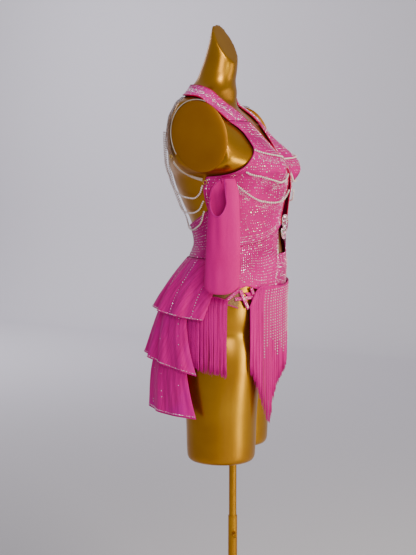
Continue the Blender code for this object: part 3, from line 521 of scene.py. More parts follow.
def satin(name, deep, bright, roughness, sheen, thread_mm, relief_mm, patch_mm=70.0):
    """Woven or knitted satin: smooth long floats that glow at a slant, with a fine rib from
    the threads, drawn a little coarser than it is, and slow changes of tone where it pulls."""
    made, tree, shader = new_material(name)
    cut = node(tree, "UVMap", uv_map="cut")
    place = node(tree, "TexCoord")
    rib = node(tree, "TexWave", {"Vector": cut.outputs["UV"], "Scale": 1 / (thread_mm * 3.2 * MM),
                                 "Distortion": 1.2, "Detail": 2.0}, bands_direction="Y")
    float_rib = node(tree, "TexWave", {"Vector": cut.outputs["UV"], "Distortion": 0.8,
                                       "Scale": 1 / (thread_mm * 5.0 * MM)}, bands_direction="X")
    weave = node(tree, "Math", {0: rib.outputs["Fac"], 1: float_rib.outputs["Fac"]},
                 operation="MULTIPLY")
    patch = node(tree, "TexNoise", {"Vector": place.outputs["Object"], "Detail": 4.0,
                                    "Scale": 1 / (patch_mm * MM), "Distortion": 0.6})
    tint = node(tree, "ValToRGB", {"Fac": patch.outputs["Fac"]}, ((0.32, deep), (0.7, bright)))
    shade = node(tree, "MixRGB", {"Fac": 0.12, "Color1": tint.outputs["Color"],
                                  "Color2": weave.outputs["Value"]}, blend_type="MULTIPLY")
    rough = node(tree, "MapRange", {"Value": patch.outputs["Fac"], "To Min": roughness + 0.08,
                                    "To Max": roughness - 0.06})
    relief = node(tree, "Bump", {"Height": weave.outputs["Value"], "Strength": 0.6,
                                 "Distance": relief_mm * MM})
    feed(tree, shader, {"Base Color": shade.outputs["Color"], "Roughness": rough.outputs["Result"],
                        "Normal": relief.outputs["Normal"], "Specular IOR Level": 0.12,
                        "Sheen Weight": sheen, "Sheen Roughness": 0.35,
                        "Sheen Tint": srgb("FF3CC0")})
    return made, tree, shader


# Polyamide and elastane satin, milled and dyed fuchsia: bright, with a soft wide shine.
bodice_satin, _, _ = satin("fuchsia stretch satin", "B80076", "DC0092", 0.46, 0.0, 1.1, 0.10)

# Stretch net: fine brown-pink threads round open holes, so the form shows through it.
nude_net, tree, shader = new_material("nude stretch net")
NET_HOLE_MM = 1.8
cut = node(tree, "UVMap", uv_map="cut")
net_scale = 1 / (NET_HOLE_MM * 2.25 * MM)
mesh_x = node(tree, "TexWave", {"Vector": cut.outputs["UV"], "Scale": net_scale},
              bands_direction="DIAGONAL")
flipped = node(tree, "Mapping", {"Vector": cut.outputs["UV"], "Scale": (-1.0, 1.0, 1.0)})
mesh_y = node(tree, "TexWave", {"Vector": flipped.outputs["Vector"], "Scale": net_scale},
              bands_direction="DIAGONAL")
thread = node(tree, "Math", {0: mesh_x.outputs["Fac"], 1: mesh_y.outputs["Fac"]},
              operation="MAXIMUM")
open_share = node(tree, "MapRange", {"Value": thread.outputs["Value"], "From Min": 0.45,
                                     "From Max": 0.95, "To Min": 0.2, "To Max": 0.75})
net_tone = node(tree, "ValToRGB", {"Fac": thread.outputs["Value"]},
                ((0, "8A6238"), (1, "A87C58")))
feed(tree, shader, {"Alpha": open_share.outputs["Result"], "Base Color": net_tone.outputs["Color"],
                    "Roughness": 0.7, "Sheen Weight": 0.05})

v = np.linspace(0, 1, 40)
front_z = 949.0 - SEAM + (806.0 - 949.0) * v
half = smooth(front_z, (806.0, 830.0, 880.0, 949.0), (15.0, 34.0, 82.0, 140.0))
angle = np.linspace(-1, 1, 61) * edge_angle(front_z, half)[:, None]
z = np.broadcast_to(front_z[:, None], angle.shape)
points = on_form(angle, z, BASE_GAP)
brief_front, _, _ = shell("brief_front_panel", points, BASE_WALL, bodice_satin)
wear(brief_front, "crystalled_satin", "brief_front")
brief_front_cut = points
back_z = BACK_LOW_Z - 1.0 + (806.0 - BACK_LOW_Z) * np.linspace(0, 1, 50)
half = smooth(back_z, (806.0, 830.0, 880.0, 945.0, 1017.0), (15.0, 46.0, 116.0, 163.0, 130.0))
reach = np.minimum(edge_angle(back_z, half), 78.0)
angle = 180.0 + np.linspace(-1, 1, 61) * reach[:, None]
z = np.broadcast_to(back_z[:, None], angle.shape)
points = on_form(angle, z, BASE_GAP)
brief_back, _, _ = shell("brief_back_panel", points, BASE_WALL, bodice_satin)
wear(brief_back, "crystalled_satin", "brief_back")
cut_as(points)

NET_HEM_ANGLE = (44.0, 50.0, 76.0, 98.0)
NET_HEM_Z = (902.0, 906.0, 924.0, 930.0)
hip_nets = {}
for label, side in SIDES:
    angle = np.linspace(61.0, 100.0, 40)
    top = smooth(angle, HIP_EDGE_ANGLE, HIP_EDGE_Z) - SEAM
    low = smooth(angle, NET_HEM_ANGLE, NET_HEM_Z)
    z = top + (low - top) * np.linspace(0, 1, 14)[:, None]
    angle = np.broadcast_to(side * angle, z.shape)
    points = on_form(angle, z, BASE_GAP)
    hip, outer, _ = shell("hip_net_panel_" + label, points, MESH_WALL, nude_net)
    wear(hip, "nude_net", "hip_net_" + label)
    hem = edging("hip_net_binding_" + label, outer[-1] + (0, 0, 0.6), 1.2, bodice_satin)
    hip_nets[label] = (hip, points, [hem])

# ---- Fringe --------------------------------------------------------------------------
# Viscose threads, sewn side by side to a tape: long round the front, over the right thigh
# longest, and shorter behind each hip's slit. Strands of glass beads hang over the front.
FRINGE_GAP, SIDE_FRINGE_GAP, FRINGE_WALL, FRINGE_STRAIGHT_Z = 8.4, 6.9, 2.6, 920.0
FRONT_STRANDS, SIDE_STRANDS, STRAND_RADIUS = 1250, 600, 0.62
FRONT_FRINGE_ANGLE = (-50.0, -45.0, -40.0, -34.0, -25.0, -19.0, -8.0, 3.0, 16.0, 32.0, 50.0)
FRONT_FRINGE_END = (772.0, 756.0, 729.0, 694.0, 650.0, 700.0, 738.0, 752.0, 770.0, 790.0, 800.0)
FRINGE_TOP_ANGLE = (0.0, 38.0, 43.0, 50.0)
FRINGE_TOP_Z = (957.0, 962.0, 956.0, 916.0)
SIDE_FRINGE_ANGLE = (73.0, 86.0, 103.0, 107.0, 110.0, 117.0)
SIDE_FRINGE_TOP = (933.0, 940.0, 940.0, 915.0, 872.0, 860.0)
SIDE_FRINGE_END = (763.0, 770.0, 780.0, 782.0, 784.0, 790.0)

# Dyed viscose: bright, silky threads. Each strand differs in tone, and shines on its side.
fringe_viscose, tree, shader = new_material("fuchsia viscose fringe thread")
cut = node(tree, "UVMap", uv_map="cut")
split = node(tree, "SeparateXYZ", {"Vector": cut.outputs["UV"]})
tone = node(tree, "ValToRGB", {"Fac": split.outputs["X"]},
            ((0, "B80078"), (0.55, "D40090"), (1, "EC0CA4")))
twist = node(tree, "TexNoise", {"Vector": cut.outputs["UV"], "Scale": 260.0, "Detail": 2.0})
twisted = node(tree, "Bump", {"Height": twist.outputs["Fac"], "Strength": 0.4,
                              "Distance": 0.2 * MM})
feed(tree, shader, {"Base Color": tone.outputs["Color"], "Normal": twisted.outputs["Normal"],
                    "Roughness": 0.4, "Specular IOR Level": 0.15, "Sheen Weight": 0.05,
                    "Sheen Tint": srgb("FF3CC0")})


def hung(angle, top, end, rows, out):
    """A curtain's grid: it follows the hip to its widest, then falls straight to its end."""
    z = top + (end - top) * np.linspace(0, 1, rows)[:, None]
    points = on_form(np.broadcast_to(angle, z.shape), np.maximum(z, FRINGE_STRAIGHT_Z),
                     np.broadcast_to(np.asarray(out, float), z.shape))
    points[..., 2] = z
    return points


def strands(name, paths, radius, finish, draw):
    """Four-sided threads along the columns of a grid, thinner to their ends; each carries a
    random tone in its UVs' first part."""
    rows, count = paths.shape[:2]
    paths = paths.transpose(1, 0, 2)
    outward = unit(paths * (1.0, 1.0, 0.0))
    sideways = np.cross(outward, (0.0, 0.0, 1.0))
    thin = radius * (1.0 - 0.45 * np.linspace(0, 1, rows)[None, :, None] ** 3)
    corners = np.stack([paths + thin * sideways, paths + thin * outward,
                        paths - thin * sideways, paths - thin * outward], axis=2)
    one = np.concatenate([grid_quads(rows, 4, closed=True), [[3, 2, 1, 0]],
                          [[4 * rows - 4, 4 * rows - 3, 4 * rows - 2, 4 * rows - 1]]])
    quads = (one[None] + np.arange(count)[:, None, None] * rows * 4).reshape(-1, 4)
    tones = np.repeat(draw.random(count), rows * 4)
    uv = np.stack([tones, corners[..., 2].ravel() * MM], axis=-1)
    return new_piece(name, corners, quads[:, ::-1], finish, uv=uv)


def fringe(name, low_angle, high_angle, count, top_of, end_of, gap, draw):
    """Ragged strands in two layers that drift into clumps towards their ends."""
    angle = np.sort(low_angle + (high_angle - low_angle) * draw.random(count))
    end = end_of(angle) + draw.normal(0.0, 3.5, count)
    layer = gap + 0.5 + draw.random(count) * (FRINGE_WALL - 0.6)
    paths = hung(angle, top_of(angle), end, 9, layer)
    share = np.linspace(0, 1, 9)[:, None] ** 1.6
    clump = (2.4 * np.sin(angle * 1.9) + 1.5 * np.sin(angle * 5.3 + 1.0)
             + draw.normal(0, 0.7, count))
    heading = np.radians(angle)
    paths[..., 0] += share * clump * np.cos(heading)
    paths[..., 1] += share * clump * np.sin(heading)
    return strands(name, paths, STRAND_RADIUS, fringe_viscose, draw)


draw = np.random.default_rng(11)
front_fringe = fringe("front_fringe", -49.5, 49.5, FRONT_STRANDS,
                      lambda a: smooth(np.abs(a), FRINGE_TOP_ANGLE, FRINGE_TOP_Z) - 2.0,
                      lambda a: smooth(a, FRONT_FRINGE_ANGLE, FRONT_FRINGE_END) + 4.0,
                      FRINGE_GAP, draw)
wear(front_fringe, "pink_fringe", "fringe_front")
angle = np.linspace(-50, 50, 101)
fringe_top = smooth(np.abs(angle), FRINGE_TOP_ANGLE, FRINGE_TOP_Z)
tape = edging("fringe_tape", on_form(angle, fringe_top - 2.0, np.full(101, FRINGE_GAP + 1.4)),
              1.7, bodice_satin, "pink_fringe")
for label, side in SIDES:
    hangs = fringe("side_fringe_" + label, side * 73.0, side * 117.0, SIDE_STRANDS,
                   lambda a: smooth(np.abs(a), SIDE_FRINGE_ANGLE, SIDE_FRINGE_TOP) - 1.0,
                   lambda a: smooth(np.abs(a), SIDE_FRINGE_ANGLE, SIDE_FRINGE_END) + 4.0,
                   SIDE_FRINGE_GAP, draw)
    wear(hangs, "pink_fringe", "fringe_side_" + label)
    angle = np.linspace(73, 117, 34)
    side_top = smooth(angle, SIDE_FRINGE_ANGLE, SIDE_FRINGE_TOP) - 1.0
    edging("side_fringe_tape_" + label,
           on_form(side * angle, side_top, np.full(34, SIDE_FRINGE_GAP + 1.2)),
           1.5, bodice_satin, "pink_fringe")


def run_of(path):
    """The length of a path from its start to each of its points."""
    return np.append(0, np.cumsum(np.linalg.norm(np.diff(path, axis=0), axis=1)))


def placed(at, run, path):
    """The values of a path's points at these lengths along it."""
    return np.stack([np.interp(at, run, path[:, k]) for k in range(3)], axis=-1)


def measured(path, spacing, start=0.5):
    """Even places along a path, by its length."""
    run = run_of(path)
    return placed(np.arange(spacing * start, run[-1], spacing), run, path)


def bead_shape():
    """A cube's faces, each parted into nine, pushed out to a ball: 54 quads and 56 points."""
    a, b = [g.ravel() for g in np.meshgrid(np.linspace(-1, 1, 4), np.linspace(-1, 1, 4))]
    faces = [np.roll(np.stack([a, b, np.full(16, s)], axis=-1), k, axis=1)
             for k in range(3) for s in (-1.0, 1.0)]
    corners = np.concatenate(faces)
    quads = np.concatenate([grid_quads(4, 4) + 16 * k for k in range(6)])
    spots, index = np.unique(np.round(corners, 6), axis=0, return_inverse=True)
    quads = index.reshape(-1)[quads]
    facing = np.cross(spots[quads[:, 1]] - spots[quads[:, 0]],
                      spots[quads[:, 3]] - spots[quads[:, 0]])
    inward = (facing * spots[quads].mean(axis=1)).sum(axis=-1) < 0
    quads[inward] = quads[inward][:, ::-1]
    return unit(spots), quads


def beads(name, places, radius, finish):
    """A ball at each place, with its own radius."""
    ball, faces = bead_shape()
    size = np.broadcast_to(np.asarray(radius, float), len(places))[:, None, None]
    points = places[:, None] + size * ball[None]
    quads = (faces[None] + np.arange(len(places))[:, None, None] * len(ball)).reshape(-1, 4)
    return new_piece(name, points, quads, finish)


# Glass beads, silver lined: they gleam pink and white, each one a little differently.
glass_bead, tree, shader = new_material("silver lined glass bead")
place = node(tree, "TexCoord")
each = node(tree, "TexVoronoi", {"Vector": place.outputs["Object"], "Scale": 1 / (6.0 * MM)})
pick = node(tree, "SeparateColor", {"Color": each.outputs["Color"]})
bead_tone = node(tree, "ValToRGB", {"Fac": pick.outputs["Red"]},
                 ((0, "E9A9C9"), (1, "F6F0F2")))
feed(tree, shader, {"Base Color": bead_tone.outputs["Color"], "Metallic": 0.35, "Roughness": 0.18,
                    "Coat Weight": 0.6})

strand_angle = np.linspace(-33, 33, 17) + draw.normal(0, 0.5, 17)
bead_places = []
for a in strand_angle:
    low = max(845.0 - 50.0 * draw.random(), smooth(a, FRONT_FRINGE_ANGLE, FRONT_FRINGE_END) + 30.0)
    run = hung(np.array([a]), np.array([953.0]), np.array([low]), 12,
               np.array([FRINGE_GAP + FRINGE_WALL + 1.3]))[:, 0]
    bead_places.append(measured(run, 6.2))
bead_places = np.concatenate(bead_places)
fringe_beads = beads("fringe_beads", bead_places, 1.35, glass_bead)
wear(fringe_beads, "crystals")
cut_as(brief_front_cut)

# ---- Lower front ---------------------------------------------------------------------
# The lower front, side to side between the wrap and the hip's edge, notched under the
# keyhole. Satin, covered with flat-backed crystals glued on in close parallel lines.
WRAP_ANGLE = (15.0, 28.0, 48.0, 69.0, 100.0)
WRAP_Z = (1094.0, 1071.0, 1055.0, 1049.0, 1040.0)
TENT_Z = (950.0, 1000.0, 1050.0, 1114.0, 1142.0, 1188.0, 1211.0, 1231.0, 1255.0, 1290.0,
          1319.0)
TENT_FRONT = (108.0, 119.0, 117.0, 121.0, 124.0, 130.0, 127.0, 111.0, 92.0, 62.0, 38.0)
TENT_HALF, TENT_FADE = 116.0, 66.0
KEYHOLE_FLOOR_Z, UNDER_WRAP = 1027.0, 5.0


def on_front(angle, z, out):
    """As on_form, but the cloth also bridges the hollow between the cups and the waist."""
    points = on_form(angle, z, out)
    _, front, back, square = form_section(z)
    c = np.cos(np.radians(angle))
    plain = (back - front) / 2 - (back + front) / 2 * np.abs(c) ** (2 / square)
    share = np.clip((TENT_HALF - np.abs(points[..., 0])) / TENT_FADE, 0, 1)
    held = np.clip(smooth(z, TENT_Z, TENT_FRONT) - front, 0, None) * share ** 2 * (3 - 2 * share)
    tent = plain - held - (np.asarray(out, float) - BASE_GAP) * np.abs(c)
    points[..., 1] = np.where(c > 0, np.minimum(points[..., 1], tent), points[..., 1])
    return points


def stones(name, places, facing, radius, draw):
    """Flat-backed cut stones: a six-sided girdle, slanting facets and a smaller flat table,
    each turned at random and leaning by a few degrees."""
    count = len(places)
    facing = unit(unit(facing) + draw.normal(0.0, 0.05, (count, 3)))
    first = unit(np.cross(facing, draw.normal(size=(count, 3))))
    second = np.cross(facing, first)
    around = (np.arange(6) * math.pi / 3)[None, :, None]
    ring = np.cos(around) * first[:, None] + np.sin(around) * second[:, None]
    size = np.broadcast_to(np.asarray(radius, float), count)[:, None, None]
    girdle = places[:, None] + size * ring
    table = places[:, None] + size * (0.55 * ring + 0.6 * facing[:, None])
    points = np.concatenate([girdle, table], axis=1)
    side = np.arange(6)
    one = np.concatenate([np.stack([side, (side + 1) % 6, (side + 1) % 6 + 6, side + 6], -1),
                          [[6, 7, 8, 9], [6, 9, 10, 11], [3, 2, 1, 0], [5, 4, 3, 0]]])
    quads = (one[None] + np.arange(count)[:, None, None] * 12).reshape(-1, 4)
    made = new_piece(name, points, quads, cut_crystal, smooth_shaded=False)
    wear(made, "crystals")
    return made


def sample(grid, row, column):
    """A grid's value between its points, straight lines between neighbours."""
    i = np.clip(row.astype(int), 0, grid.shape[0] - 2)
    j = np.clip(column.astype(int), 0, grid.shape[1] - 2)
    a, b = (row - i)[:, None], (column - j)[:, None]
    return ((grid[i, j] * (1 - a) + grid[i + 1, j] * a) * (1 - b)
            + (grid[i, j + 1] * (1 - a) + grid[i + 1, j + 1] * a) * b)


def in_lines(grid, facing, rows, spacing):
    """Even places along lines at these rows of a grid, every other line half a step on, and
    the way the cloth faces there."""
    places, faces = [], []
    for k, row in enumerate(rows):
        column = np.arange(grid.shape[1], dtype=float)
        line = sample(grid, np.full(len(column), row), column)
        run = run_of(line)
        at = np.arange(spacing * (0.3 + 0.5 * (k % 2)), run[-1] - 0.5, spacing)
        at = np.interp(at, run, column)
        places.append(sample(grid, np.full(len(at), row), at))
        faces.append(sample(facing, np.full(len(at), row), at))
    return np.concatenate(places), np.concatenate(faces)


# Cut lead-free glass with a foil back: bright facets, and a rainbow coat that turns some of
# them pink, lilac or gold. Each stone has its own tint.
cut_crystal, tree, shader = new_material("foil backed cut crystal")
place = node(tree, "TexCoord")
each = node(tree, "TexVoronoi", {"Vector": place.outputs["Object"], "Scale": 1 / (3.2 * MM)})
pick = node(tree, "SeparateColor", {"Color": each.outputs["Color"]})
stone_tone = node(tree, "ValToRGB", {"Fac": pick.outputs["Red"]},
                  ((0, "E0189C"), (0.3, "F060B8"), (0.55, "FAC4E8"), (0.75, "FFFFFF"),
                   (1, "FFFFFF")))
feed(tree, shader, {"Base Color": stone_tone.outputs["Color"], "Metallic": 0.4, "Roughness": 0.14,
                    "Coat Weight": 1.0, "Coat Roughness": 0.03})

keyhole_side = edge_angle(1060.0, 34.0)
half = np.concatenate([np.linspace(0, keyhole_side - 0.8, 12),
                       np.linspace(keyhole_side + 0.2, 100.0, 60)])
angle = np.concatenate([-half[:0:-1], half])
# Its top edge lies a little way up under the wrap.
top = smooth(np.abs(angle), WRAP_ANGLE, WRAP_Z) + UNDER_WRAP
top = np.where(np.abs(angle) < keyhole_side, KEYHOLE_FLOOR_Z, top)
low = smooth(np.abs(angle), HIP_EDGE_ANGLE, HIP_EDGE_Z)
z = top + (low - top) * np.linspace(0, 1, 36)[:, None]
points = on_front(angle, z, BASE_GAP)
lower_front, outer, facing = shell("lower_front_panel", points, BASE_WALL, bodice_satin)
wear(lower_front, "crystalled_satin", "lower_front")
# Lines of stones follow the top edge at the front, and lie level over the hips.
draw = np.random.default_rng(3)
LINE_STEP = 5.2
places, faces = in_lines(outer, facing, np.arange(0.6, 34.8, 35 / (96.0 / LINE_STEP)), LINE_STEP)
sparse = draw.random(len(places)) > np.where(np.abs(places[:, 0]) < 34, 0.55, 0.16)
places, faces = places[sparse], faces[sparse]
lower_stones = stones("lower_front_stones", places, faces,
                      draw.choice([1.0, 1.25, 1.7], len(places), p=[0.5, 0.4, 0.1]), draw)
hip_edge = edging("hip_edge_binding", outer[-1] + (0, 0, 0.8), 1.3, bodice_satin)
cut_as(points)

# ---- Upper fronts --------------------------------------------------------------------
# Two satin fronts, joined between the cups, cut away below as a keyhole with a flat bound
# edge, and wrapped to the sides. Pearl swags hang over each cup on bands of stones.
ARMHOLE_Z = (1040.0, 1130.0, 1203.0, 1206.0, 1212.0, 1218.0, 1229.0, 1240.0, 1252.0, 1265.0,
             1293.0, 1304.0, 1320.0)
ARMHOLE_ANGLE = (100.0, 99.0, 91.0, 80.0, 67.0, 58.0, 48.5, 42.7, 37.6, 34.0,
                 31.6, 33.5, 40.4)
NECK_Z, NECK_HALF = (1255.0, 1280.0, 1308.0, 1320.0), (1.0, 20.0, 35.0, 41.0)
KEYHOLE_Z = (1027.0, 1050.0, 1100.0, 1142.0, 1188.0, 1215.0, 1232.0)
KEYHOLE_HALF = (33.0, 35.0, 30.0, 22.0, 11.0, 6.0, 0.4)
NECK_TURN_Z, FRONT_TOP, FRONT_HANG, FRONT_END = 1240.0, 1319.5, 1206.0, 1094.0
BUST_SWAGS = (
    ((37, 1256), (31, 1248), (23, 1242), (13, 1238), (4, 1237)),
    ((54, 1216), (46, 1204), (36, 1197), (25, 1193), (14, 1195), (5, 1206)),
    ((68, 1188), (57, 1168), (43, 1152), (29, 1146), (17, 1152), (7, 1174)),
)
SWAG_GAP = (9.6, 10.0, 14.0)
PEARL_RADIUS, WRAP_RISE, WRAP_LIFT = 2.2, 16.0, 2.4


def along(points, count):
    """A smooth run of count angles and heights through these ones."""
    table = np.array(points, float)
    at, t = np.arange(len(table)), np.linspace(0, len(table) - 1, count)
    return smooth(t, at, table[:, 0]), smooth(t, at, table[:, 1])


# Crimson side of the satin, seen where an edge is turned: duller and deeper than the face.
crimson_edge, _, _ = satin("crimson satin binding", "A8003C", "CC0450", 0.5, 0.1, 1.0, 0.08)

# Glass pearls under a nacre lacquer: cream with a soft pink and a wide smooth highlight.
pearl_glass, tree, shader = new_material("nacre lacquered glass pearl")
place = node(tree, "TexCoord")
nacre = node(tree, "TexNoise", {"Vector": place.outputs["Object"], "Scale": 1 / (7.0 * MM),
                                "Detail": 1.0})
pearl_tone = node(tree, "ValToRGB", {"Fac": nacre.outputs["Fac"]},
                  ((0.3, "DCC4C0"), (0.7, "F7EFEA")))
feed(tree, shader, {"Base Color": pearl_tone.outputs["Color"], "Roughness": 0.22,
                    "Coat Weight": 0.7, "Coat Roughness": 0.08, "Sheen Weight": 0.2})

level = np.concatenate([np.linspace(FRONT_TOP, FRONT_HANG, 40)[:-1],
                        np.linspace(FRONT_HANG, FRONT_END, 44)])[:, None]
u = np.linspace(0, 1, 48)[None, :]
low = FRONT_END
for _ in range(6):
    stretch = (FRONT_HANG - low) / (FRONT_HANG - FRONT_END)
    z = np.where(level < FRONT_HANG, FRONT_HANG + (level - FRONT_HANG) * stretch, level)
    half = np.where(z > NECK_TURN_Z, smooth(z, NECK_Z, NECK_HALF),
                    smooth(z, KEYHOLE_Z, KEYHOLE_HALF))
    inner_edge = edge_angle(z, half)
    angle = inner_edge + (smooth(z, ARMHOLE_Z, ARMHOLE_ANGLE) - inner_edge) * u
    low = smooth(angle[-1:], WRAP_ANGLE, WRAP_Z) + SEAM
# Soft drag folds run from the centre join down towards the sides, deepest under the cups.
under_cup = np.exp(-((z - 1150.0) / 42.0) ** 2) * np.sin(math.pi * np.clip(u, 0, 1)) ** 0.7
fold = (0.8 * np.sin(angle * 0.20 + (z - 1100.0) * 0.085)
        + 0.45 * np.sin(angle * 0.31 - (z - 1100.0) * 0.055 + 1.3)) * under_cup
# The wrap's last rows lift over the lower front.
over = np.clip((smooth(angle, WRAP_ANGLE, WRAP_Z) + WRAP_RISE - z) / WRAP_RISE, 0, 1)
lift = WRAP_LIFT * over ** 2 * (3 - 2 * over)
for label, side in SIDES:
    points = on_front(side * angle, z, BASE_GAP + 0.25 + fold * 0.9 + lift)
    upper, outer, facing = shell("upper_front_" + label, points, BASE_WALL, bodice_satin)
    wear(upper, "crystalled_satin", "bodice_front_" + label)
    pieces = []
    # Swags of pearls, largest below, each over a band of stones.
    for number, (swag, gap) in enumerate(zip(BUST_SWAGS, SWAG_GAP), 1):
        swag_angle, swag_z = along(swag, 80)
        path = on_front(side * swag_angle, swag_z, np.full(80, gap - 2.2))
        pearls = beads(f"bust_pearls_{number}_{label}", measured(path, 5.3), PEARL_RADIUS,
                       pearl_glass)
        wear(pearls, "pearls", f"bust_swag_{number}_{label}")
        pieces.append(pearls)
    # Stones: a band under each swag, a line inside each edge, and a scatter over the rest.
    places, faces = [], []
    for swag in BUST_SWAGS:
        swag_angle, swag_z = along(swag, 120)
        for drop in (4.5, 8.2, 11.9, 15.6):
            line = on_front(side * swag_angle, swag_z - drop, np.full(120, BASE_GAP + 1.5))
            spots = measured(line, 3.7, start=0.2 + drop % 1.0)
            above = on_front(side * swag_angle, swag_z - drop, np.full(120, BASE_GAP + 3.5))
            places.append(spots)
            faces.append(measured(above, 3.7, start=0.2 + drop % 1.0)[:len(spots)] - spots)
    places = [p[:len(f)] for p, f in zip(places, faces)]
    line_places, line_faces = in_lines(outer.transpose(1, 0, 2), facing.transpose(1, 0, 2),
                                       (1.2, 2.6, 46.0), 4.0)
    wrap_places, wrap_faces = in_lines(outer, facing, (81.6, 80.2, 78.8, 77.4), 3.6)
    all_places, all_faces = in_lines(outer, facing, np.arange(3.0, 76.5, 1.75), 5.4)
    all_places = all_places + draw.normal(0, 0.55, all_places.shape) * (1, 0, 1)
    smooth_zone = np.sin(all_places[:, 2] * 0.145 + 0.04 * all_places[:, 0] + 1.2) > 0.72
    chosen = draw.random(len(all_places)) > np.where(smooth_zone, 0.8, 0.2)
    places = np.concatenate(places + [line_places, wrap_places, all_places[chosen]])
    faces = np.concatenate(faces + [line_faces, wrap_faces, all_faces[chosen]])
    keep = draw.random(len(places)) > 0.04
    places, faces = places[keep], faces[keep]
    glints = stones("upper_front_stones_" + label, places, faces,
                    draw.choice([0.95, 1.2, 1.7], len(places), p=[0.5, 0.4, 0.1]), draw)
    pieces += [
        glints,
        edging("keyhole_binding_" + label, outer[:, 0] + facing[:, 0] * 0.2, 1.7, crimson_edge,
               flat=0.8),
        edging("armhole_binding_" + label, outer[:, -1] + facing[:, -1] * 0.1, 1.4,
               bodice_satin),
        edging("wrap_binding_" + label, outer[-1] + facing[-1] * 0.4, 1.5, bodice_satin)]
    cut_as(points)

# ---- Brooch --------------------------------------------------------------------------
# A crystal ornament in the keyhole: a squarish link over a rounder one. Each is a ring of
# plated brass wire set with large stones, with two more bars of stones across its opening.
plated_brass, tree, shader = new_material("silver plated brass wire")
place = node(tree, "TexCoord")
tarnish = node(tree, "TexNoise", {"Vector": place.outputs["Object"], "Scale": 1 / (4.0 * MM)})
polish = node(tree, "MapRange", {"Value": tarnish.outputs["Fac"], "To Min": 0.14, "To Max": 0.4})
feed(tree, shader, {"Roughness": polish.outputs["Result"], "Base Color": srgb("D8D2D0"),
                    "Metallic": 1.0})

BROOCH_LINKS = (
    # number, middle_z, radius, flatness, squareness, rise of its two sides
    (1, 1100.0, 20.0, 0.62, 3.2, 0.0), (2, 1072.0, 20.0, 0.62, 2.0, 4.0))
FORWARD = (0.0, -1.0, 0.0)
for number, link_z, radius, flat, square, rise in BROOCH_LINKS:
    front = -smooth(link_z, TENT_Z, TENT_FRONT) - 1.0
    around = np.arange(120) * 2 * math.pi / 120
    c, s = np.cos(around), np.sin(around)
    path = np.stack([radius * np.sign(c) * np.abs(c) ** (2 / square), np.full(120, front),
                     link_z + flat * radius * np.sign(s) * np.abs(s) ** (2 / square)
                     + rise * np.abs(c) ** 2], axis=-1)
    wire = tube(f"brooch_wire_{number}", path, 1.4, plated_brass, sides=8, closed=True)
    wear(wire, "crystals", f"brooch_{number}")
    seat = measured(np.concatenate([path, path[:1]]), 5.0) + (0, -1.2, 0)
    stones(f"brooch_stones_{number}", seat, np.tile(FORWARD, (len(seat), 1)), 2.3, draw)
    # A bar across the opening and one down it carry more stones.
    for label, run, drop in (("across", 0.82 * radius, 0.0), ("down", 0.0, 0.85 * flat * radius)):
        ends = np.array([(-run, front, link_z + drop), (run, front, link_z - drop)])
        edging(f"brooch_bar_{label}_{number}", np.linspace(ends[0], ends[1], 5), 1.3,
               plated_brass, "crystals")
        seat = measured(ends, 4.4) + (0, -1.2, 0)
        stones(f"brooch_{label}_stones_{number}", seat, np.tile(FORWARD, (len(seat), 1)), 2.4,
               draw)

# ---- Back ----------------------------------------------------------------------------
# The low back of satin with a V top, the nude net yoke under the neckband, and three pearl
# strings on each side that swing from the yoke across the open back to the underarm.
BACK_ANGLE, BACK_TOP_Z = (101.0, 114.0, 142.0, 180.0), (1126.0, 1113.0, 1095.0, 1084.0)
YOKE_ANGLE, YOKE_LOW_Z = (124.0, 136.0, 150.0, 180.0), (1240.0, 1262.0, 1286.0, 1298.0)
BAND_ROWS = np.array((
    # neck_angle, neck_z, arm_angle, arm_z
    (11.5, 1321.0, 40.8, 1321.0), (12.5, 1344.0, 46.5, 1343.0), (15.0, 1361.0, 50.5, 1359.0),
    (29.0, 1374.0, 63.0, 1369.0), (48.0, 1384.0, 79.0, 1373.0), (73.0, 1392.0, 97.0, 1374.0),
    (103.0, 1399.0, 118.0, 1376.0), (138.0, 1403.0, 146.0, 1380.0),
    (180.0, 1405.0, 180.0, 1384.0)))
BACK_STRINGS = (
    ((152, 1300), (156, 1262), (158, 1225), (153, 1193), (140, 1171), (124, 1159), (112, 1156),
     (102, 1166), (96, 1186)),
    ((160, 1300), (163, 1240), (163, 1180), (158, 1140), (142, 1125), (124, 1123), (110, 1130),
     (100, 1150)),
    ((168, 1300), (170, 1230), (170, 1160), (167, 1110), (154, 1088), (138, 1082), (118, 1095),
     (104, 1126)),
)
STRING_GAP = (9.5, 9.0, 8.5)

angle = np.linspace(100.6, 259.4, 90)
fold = 180.0 - np.abs(180.0 - angle)
top = smooth(fold, BACK_ANGLE, BACK_TOP_Z)
z = top + (BACK_LOW_Z - top) * np.linspace(0, 1, 30)[:, None]
points = on_form(angle, z, BASE_GAP)
low_back, outer, facing = shell("low_back_panel", points, BASE_WALL, bodice_satin)
wear(low_back, "crystalled_satin", "back_panel")
places, faces = in_lines(outer, facing, np.linspace(0.8, 28.5, 15), 5.2)
sparse = draw.random(len(places)) > 0.1
back_stones = stones("low_back_stones", places[sparse], faces[sparse],
                     draw.choice([0.9, 1.2], sparse.sum()), draw)
back_edge = edging("low_back_binding", outer[0] + (0, 0, -0.6), 1.4, bodice_satin)
cut_as(points)

